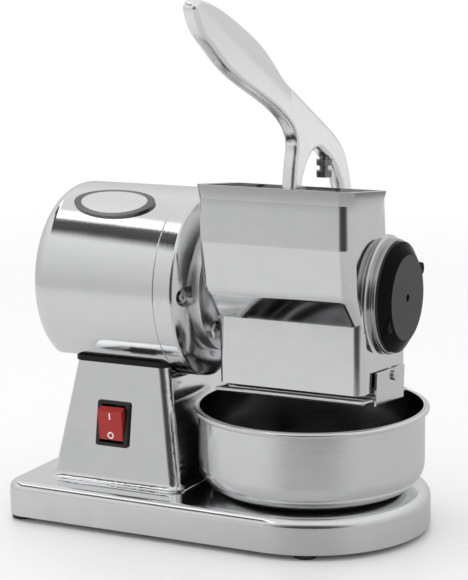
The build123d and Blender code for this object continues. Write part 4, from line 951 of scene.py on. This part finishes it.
room = bpy.data.worlds.new("white_room")
bpy.context.scene.world = room
room.use_nodes = True
add_room = node_maker(room.node_tree)
way = add_room("ShaderNodeTexCoord")["Generated"]
ray = add_room("ShaderNodeLightPath")
camera_side_deg = 22
camera_side_level = 0.06
back_corner_deg = 153
back_corner_level = 0.86
light_level = 0.98
background_level = 1.0
soft_box_axis = (0.928, 0.371, 0)


def cosine_to(direction):
    """Cosine of the angle between a ray and a direction in the room."""
    return add_room("ShaderNodeVectorMath", operation="DOT_PRODUCT", i0=way, i1=direction)["Value"]


def towards(azimuth_deg, start, end):
    """Mask that grows from nothing to full between two cosines from a level direction."""
    return smooth_step(add_room, cosine_to(compass(azimuth_deg)), start, end)


def below(start, end):
    """Mask that grows to full as the sine of the elevation falls from start to end."""
    return smooth_step(add_room, add_room("ShaderNodeSeparateXYZ", Vector=way)["Z"], start, end)


def level_ramp(stops, axis=(0, 0, 1)):
    """Brightness by height along an axis, given as pairs of cosine and level."""
    share = add_room("ShaderNodeMapRange", Value=cosine_to(axis), From_Min=-1.0)[0]
    ramp = add_room("ShaderNodeValToRGB", Fac=share)["Color"]
    marks = ramp.node.color_ramp.elements
    marks[0].color = grey(stops[0][1])
    marks[1].color = grey(stops[-1][1])
    for cosine, level in stops[1:-1]:
        marks.new((cosine + 1) / 2).color = grey(level)
    return ramp


open_walls = level_ramp(
    ((-1, 0.59), (0.0, 0.6), (0.2, 0.67), (0.43, 0.75), (0.66, 0.85), (0.9, 0.8), (1, 0.75))
)
box_bands = level_ramp(
    (
        (-1, 1),
        (-0.67, 1),
        (-0.63, 0.08),
        (-0.55, 0.12),
        (-0.54, 1.9),
        (-0.49, 1.9),
        (-0.46, 1),
        (1, 1),
    ),
    axis=soft_box_axis,
)
box_here = mixed(add_room, below(0.66, 0.56), box_bands, grey(1.0))
lit_walls = mixed(add_room, 1.0, open_walls, box_here, "MULTIPLY")
back_band = maths(add_room, "SUBTRACT", below(-0.03, -0.12), below(-0.135, -0.155))
back_low = maths(add_room, "MULTIPLY", towards(back_corner_deg, 0.7, 0.9), back_band)
bright_walls = mixed(add_room, back_low, lit_walls, grey(back_corner_level))
unlit = add_room(
    "ShaderNodeMath",
    operation="SUBTRACT",
    use_clamp=True,
    i0=towards(camera_side_deg, 0.66, 0.97),
    i1=below(-0.24, -0.33),
)[0]
walls = mixed(add_room, unlit, bright_walls, grey(camera_side_level))
seen_by_metal = mixed(add_room, ray["Is Glossy Ray"], grey(light_level), walls)
seen = mixed(add_room, ray["Is Camera Ray"], seen_by_metal, grey(background_level))
wire(room.node_tree.nodes["Background"], Color=seen)


# Soft box: a wide lamp high on the left, turned to the middle of the machine. It only adds light
# and shadow, because the room already shows metal the box itself.
soft_box = bpy.data.lights.new("soft_box", "AREA")
soft_box.shape = "RECTANGLE"
soft_box.size = 1.4
soft_box.size_y = 0.55
soft_box.energy = 4.6
soft_lamp = set_down("soft_box", soft_box)
lamp_azimuth_deg = -62
lamp_elevation_deg = 71
lamp_distance = 1.7
lamp_aim = Vector((-0.06, 0, 0.15))
lamp_way = Vector(compass(lamp_azimuth_deg, lamp_elevation_deg))
lamp_at = lamp_aim + lamp_way * lamp_distance
lamp_turn = (lamp_aim - lamp_at).to_track_quat("-Z", "Y").to_matrix().to_4x4()
soft_lamp.matrix_world = Matrix.Translation(lamp_at) @ lamp_turn
soft_lamp.visible_glossy = False


# Camera: stands at the front right, a little above the machine, with a long lens. The picture is
# turned by less than a degree.
bpy.context.scene.view_settings.view_transform = "Standard"
camera = bpy.data.cameras.new("photo_camera")
camera.sensor_fit = "VERTICAL"
camera.sensor_height = 36.0
camera.lens = 119.69
photo_camera = set_down("photo_camera", camera)
eye = Vector((0.5255, -1.1639, 0.4130))
aim = Vector((-0.0579, 0.0, 0.1595))
roll = math.radians(-0.696)
look = (eye - aim).normalized()
level_x = Vector((-look.y, look.x, 0)).normalized()
level_y = look.cross(level_x)
side = level_x * math.cos(roll) + level_y * math.sin(roll)
rise = level_y * math.cos(roll) - level_x * math.sin(roll)
camera_turn = Matrix((side, rise, look)).transposed().to_4x4()
photo_camera.matrix_world = Matrix.Translation(eye) @ camera_turn
bpy.context.scene.camera = photo_camera
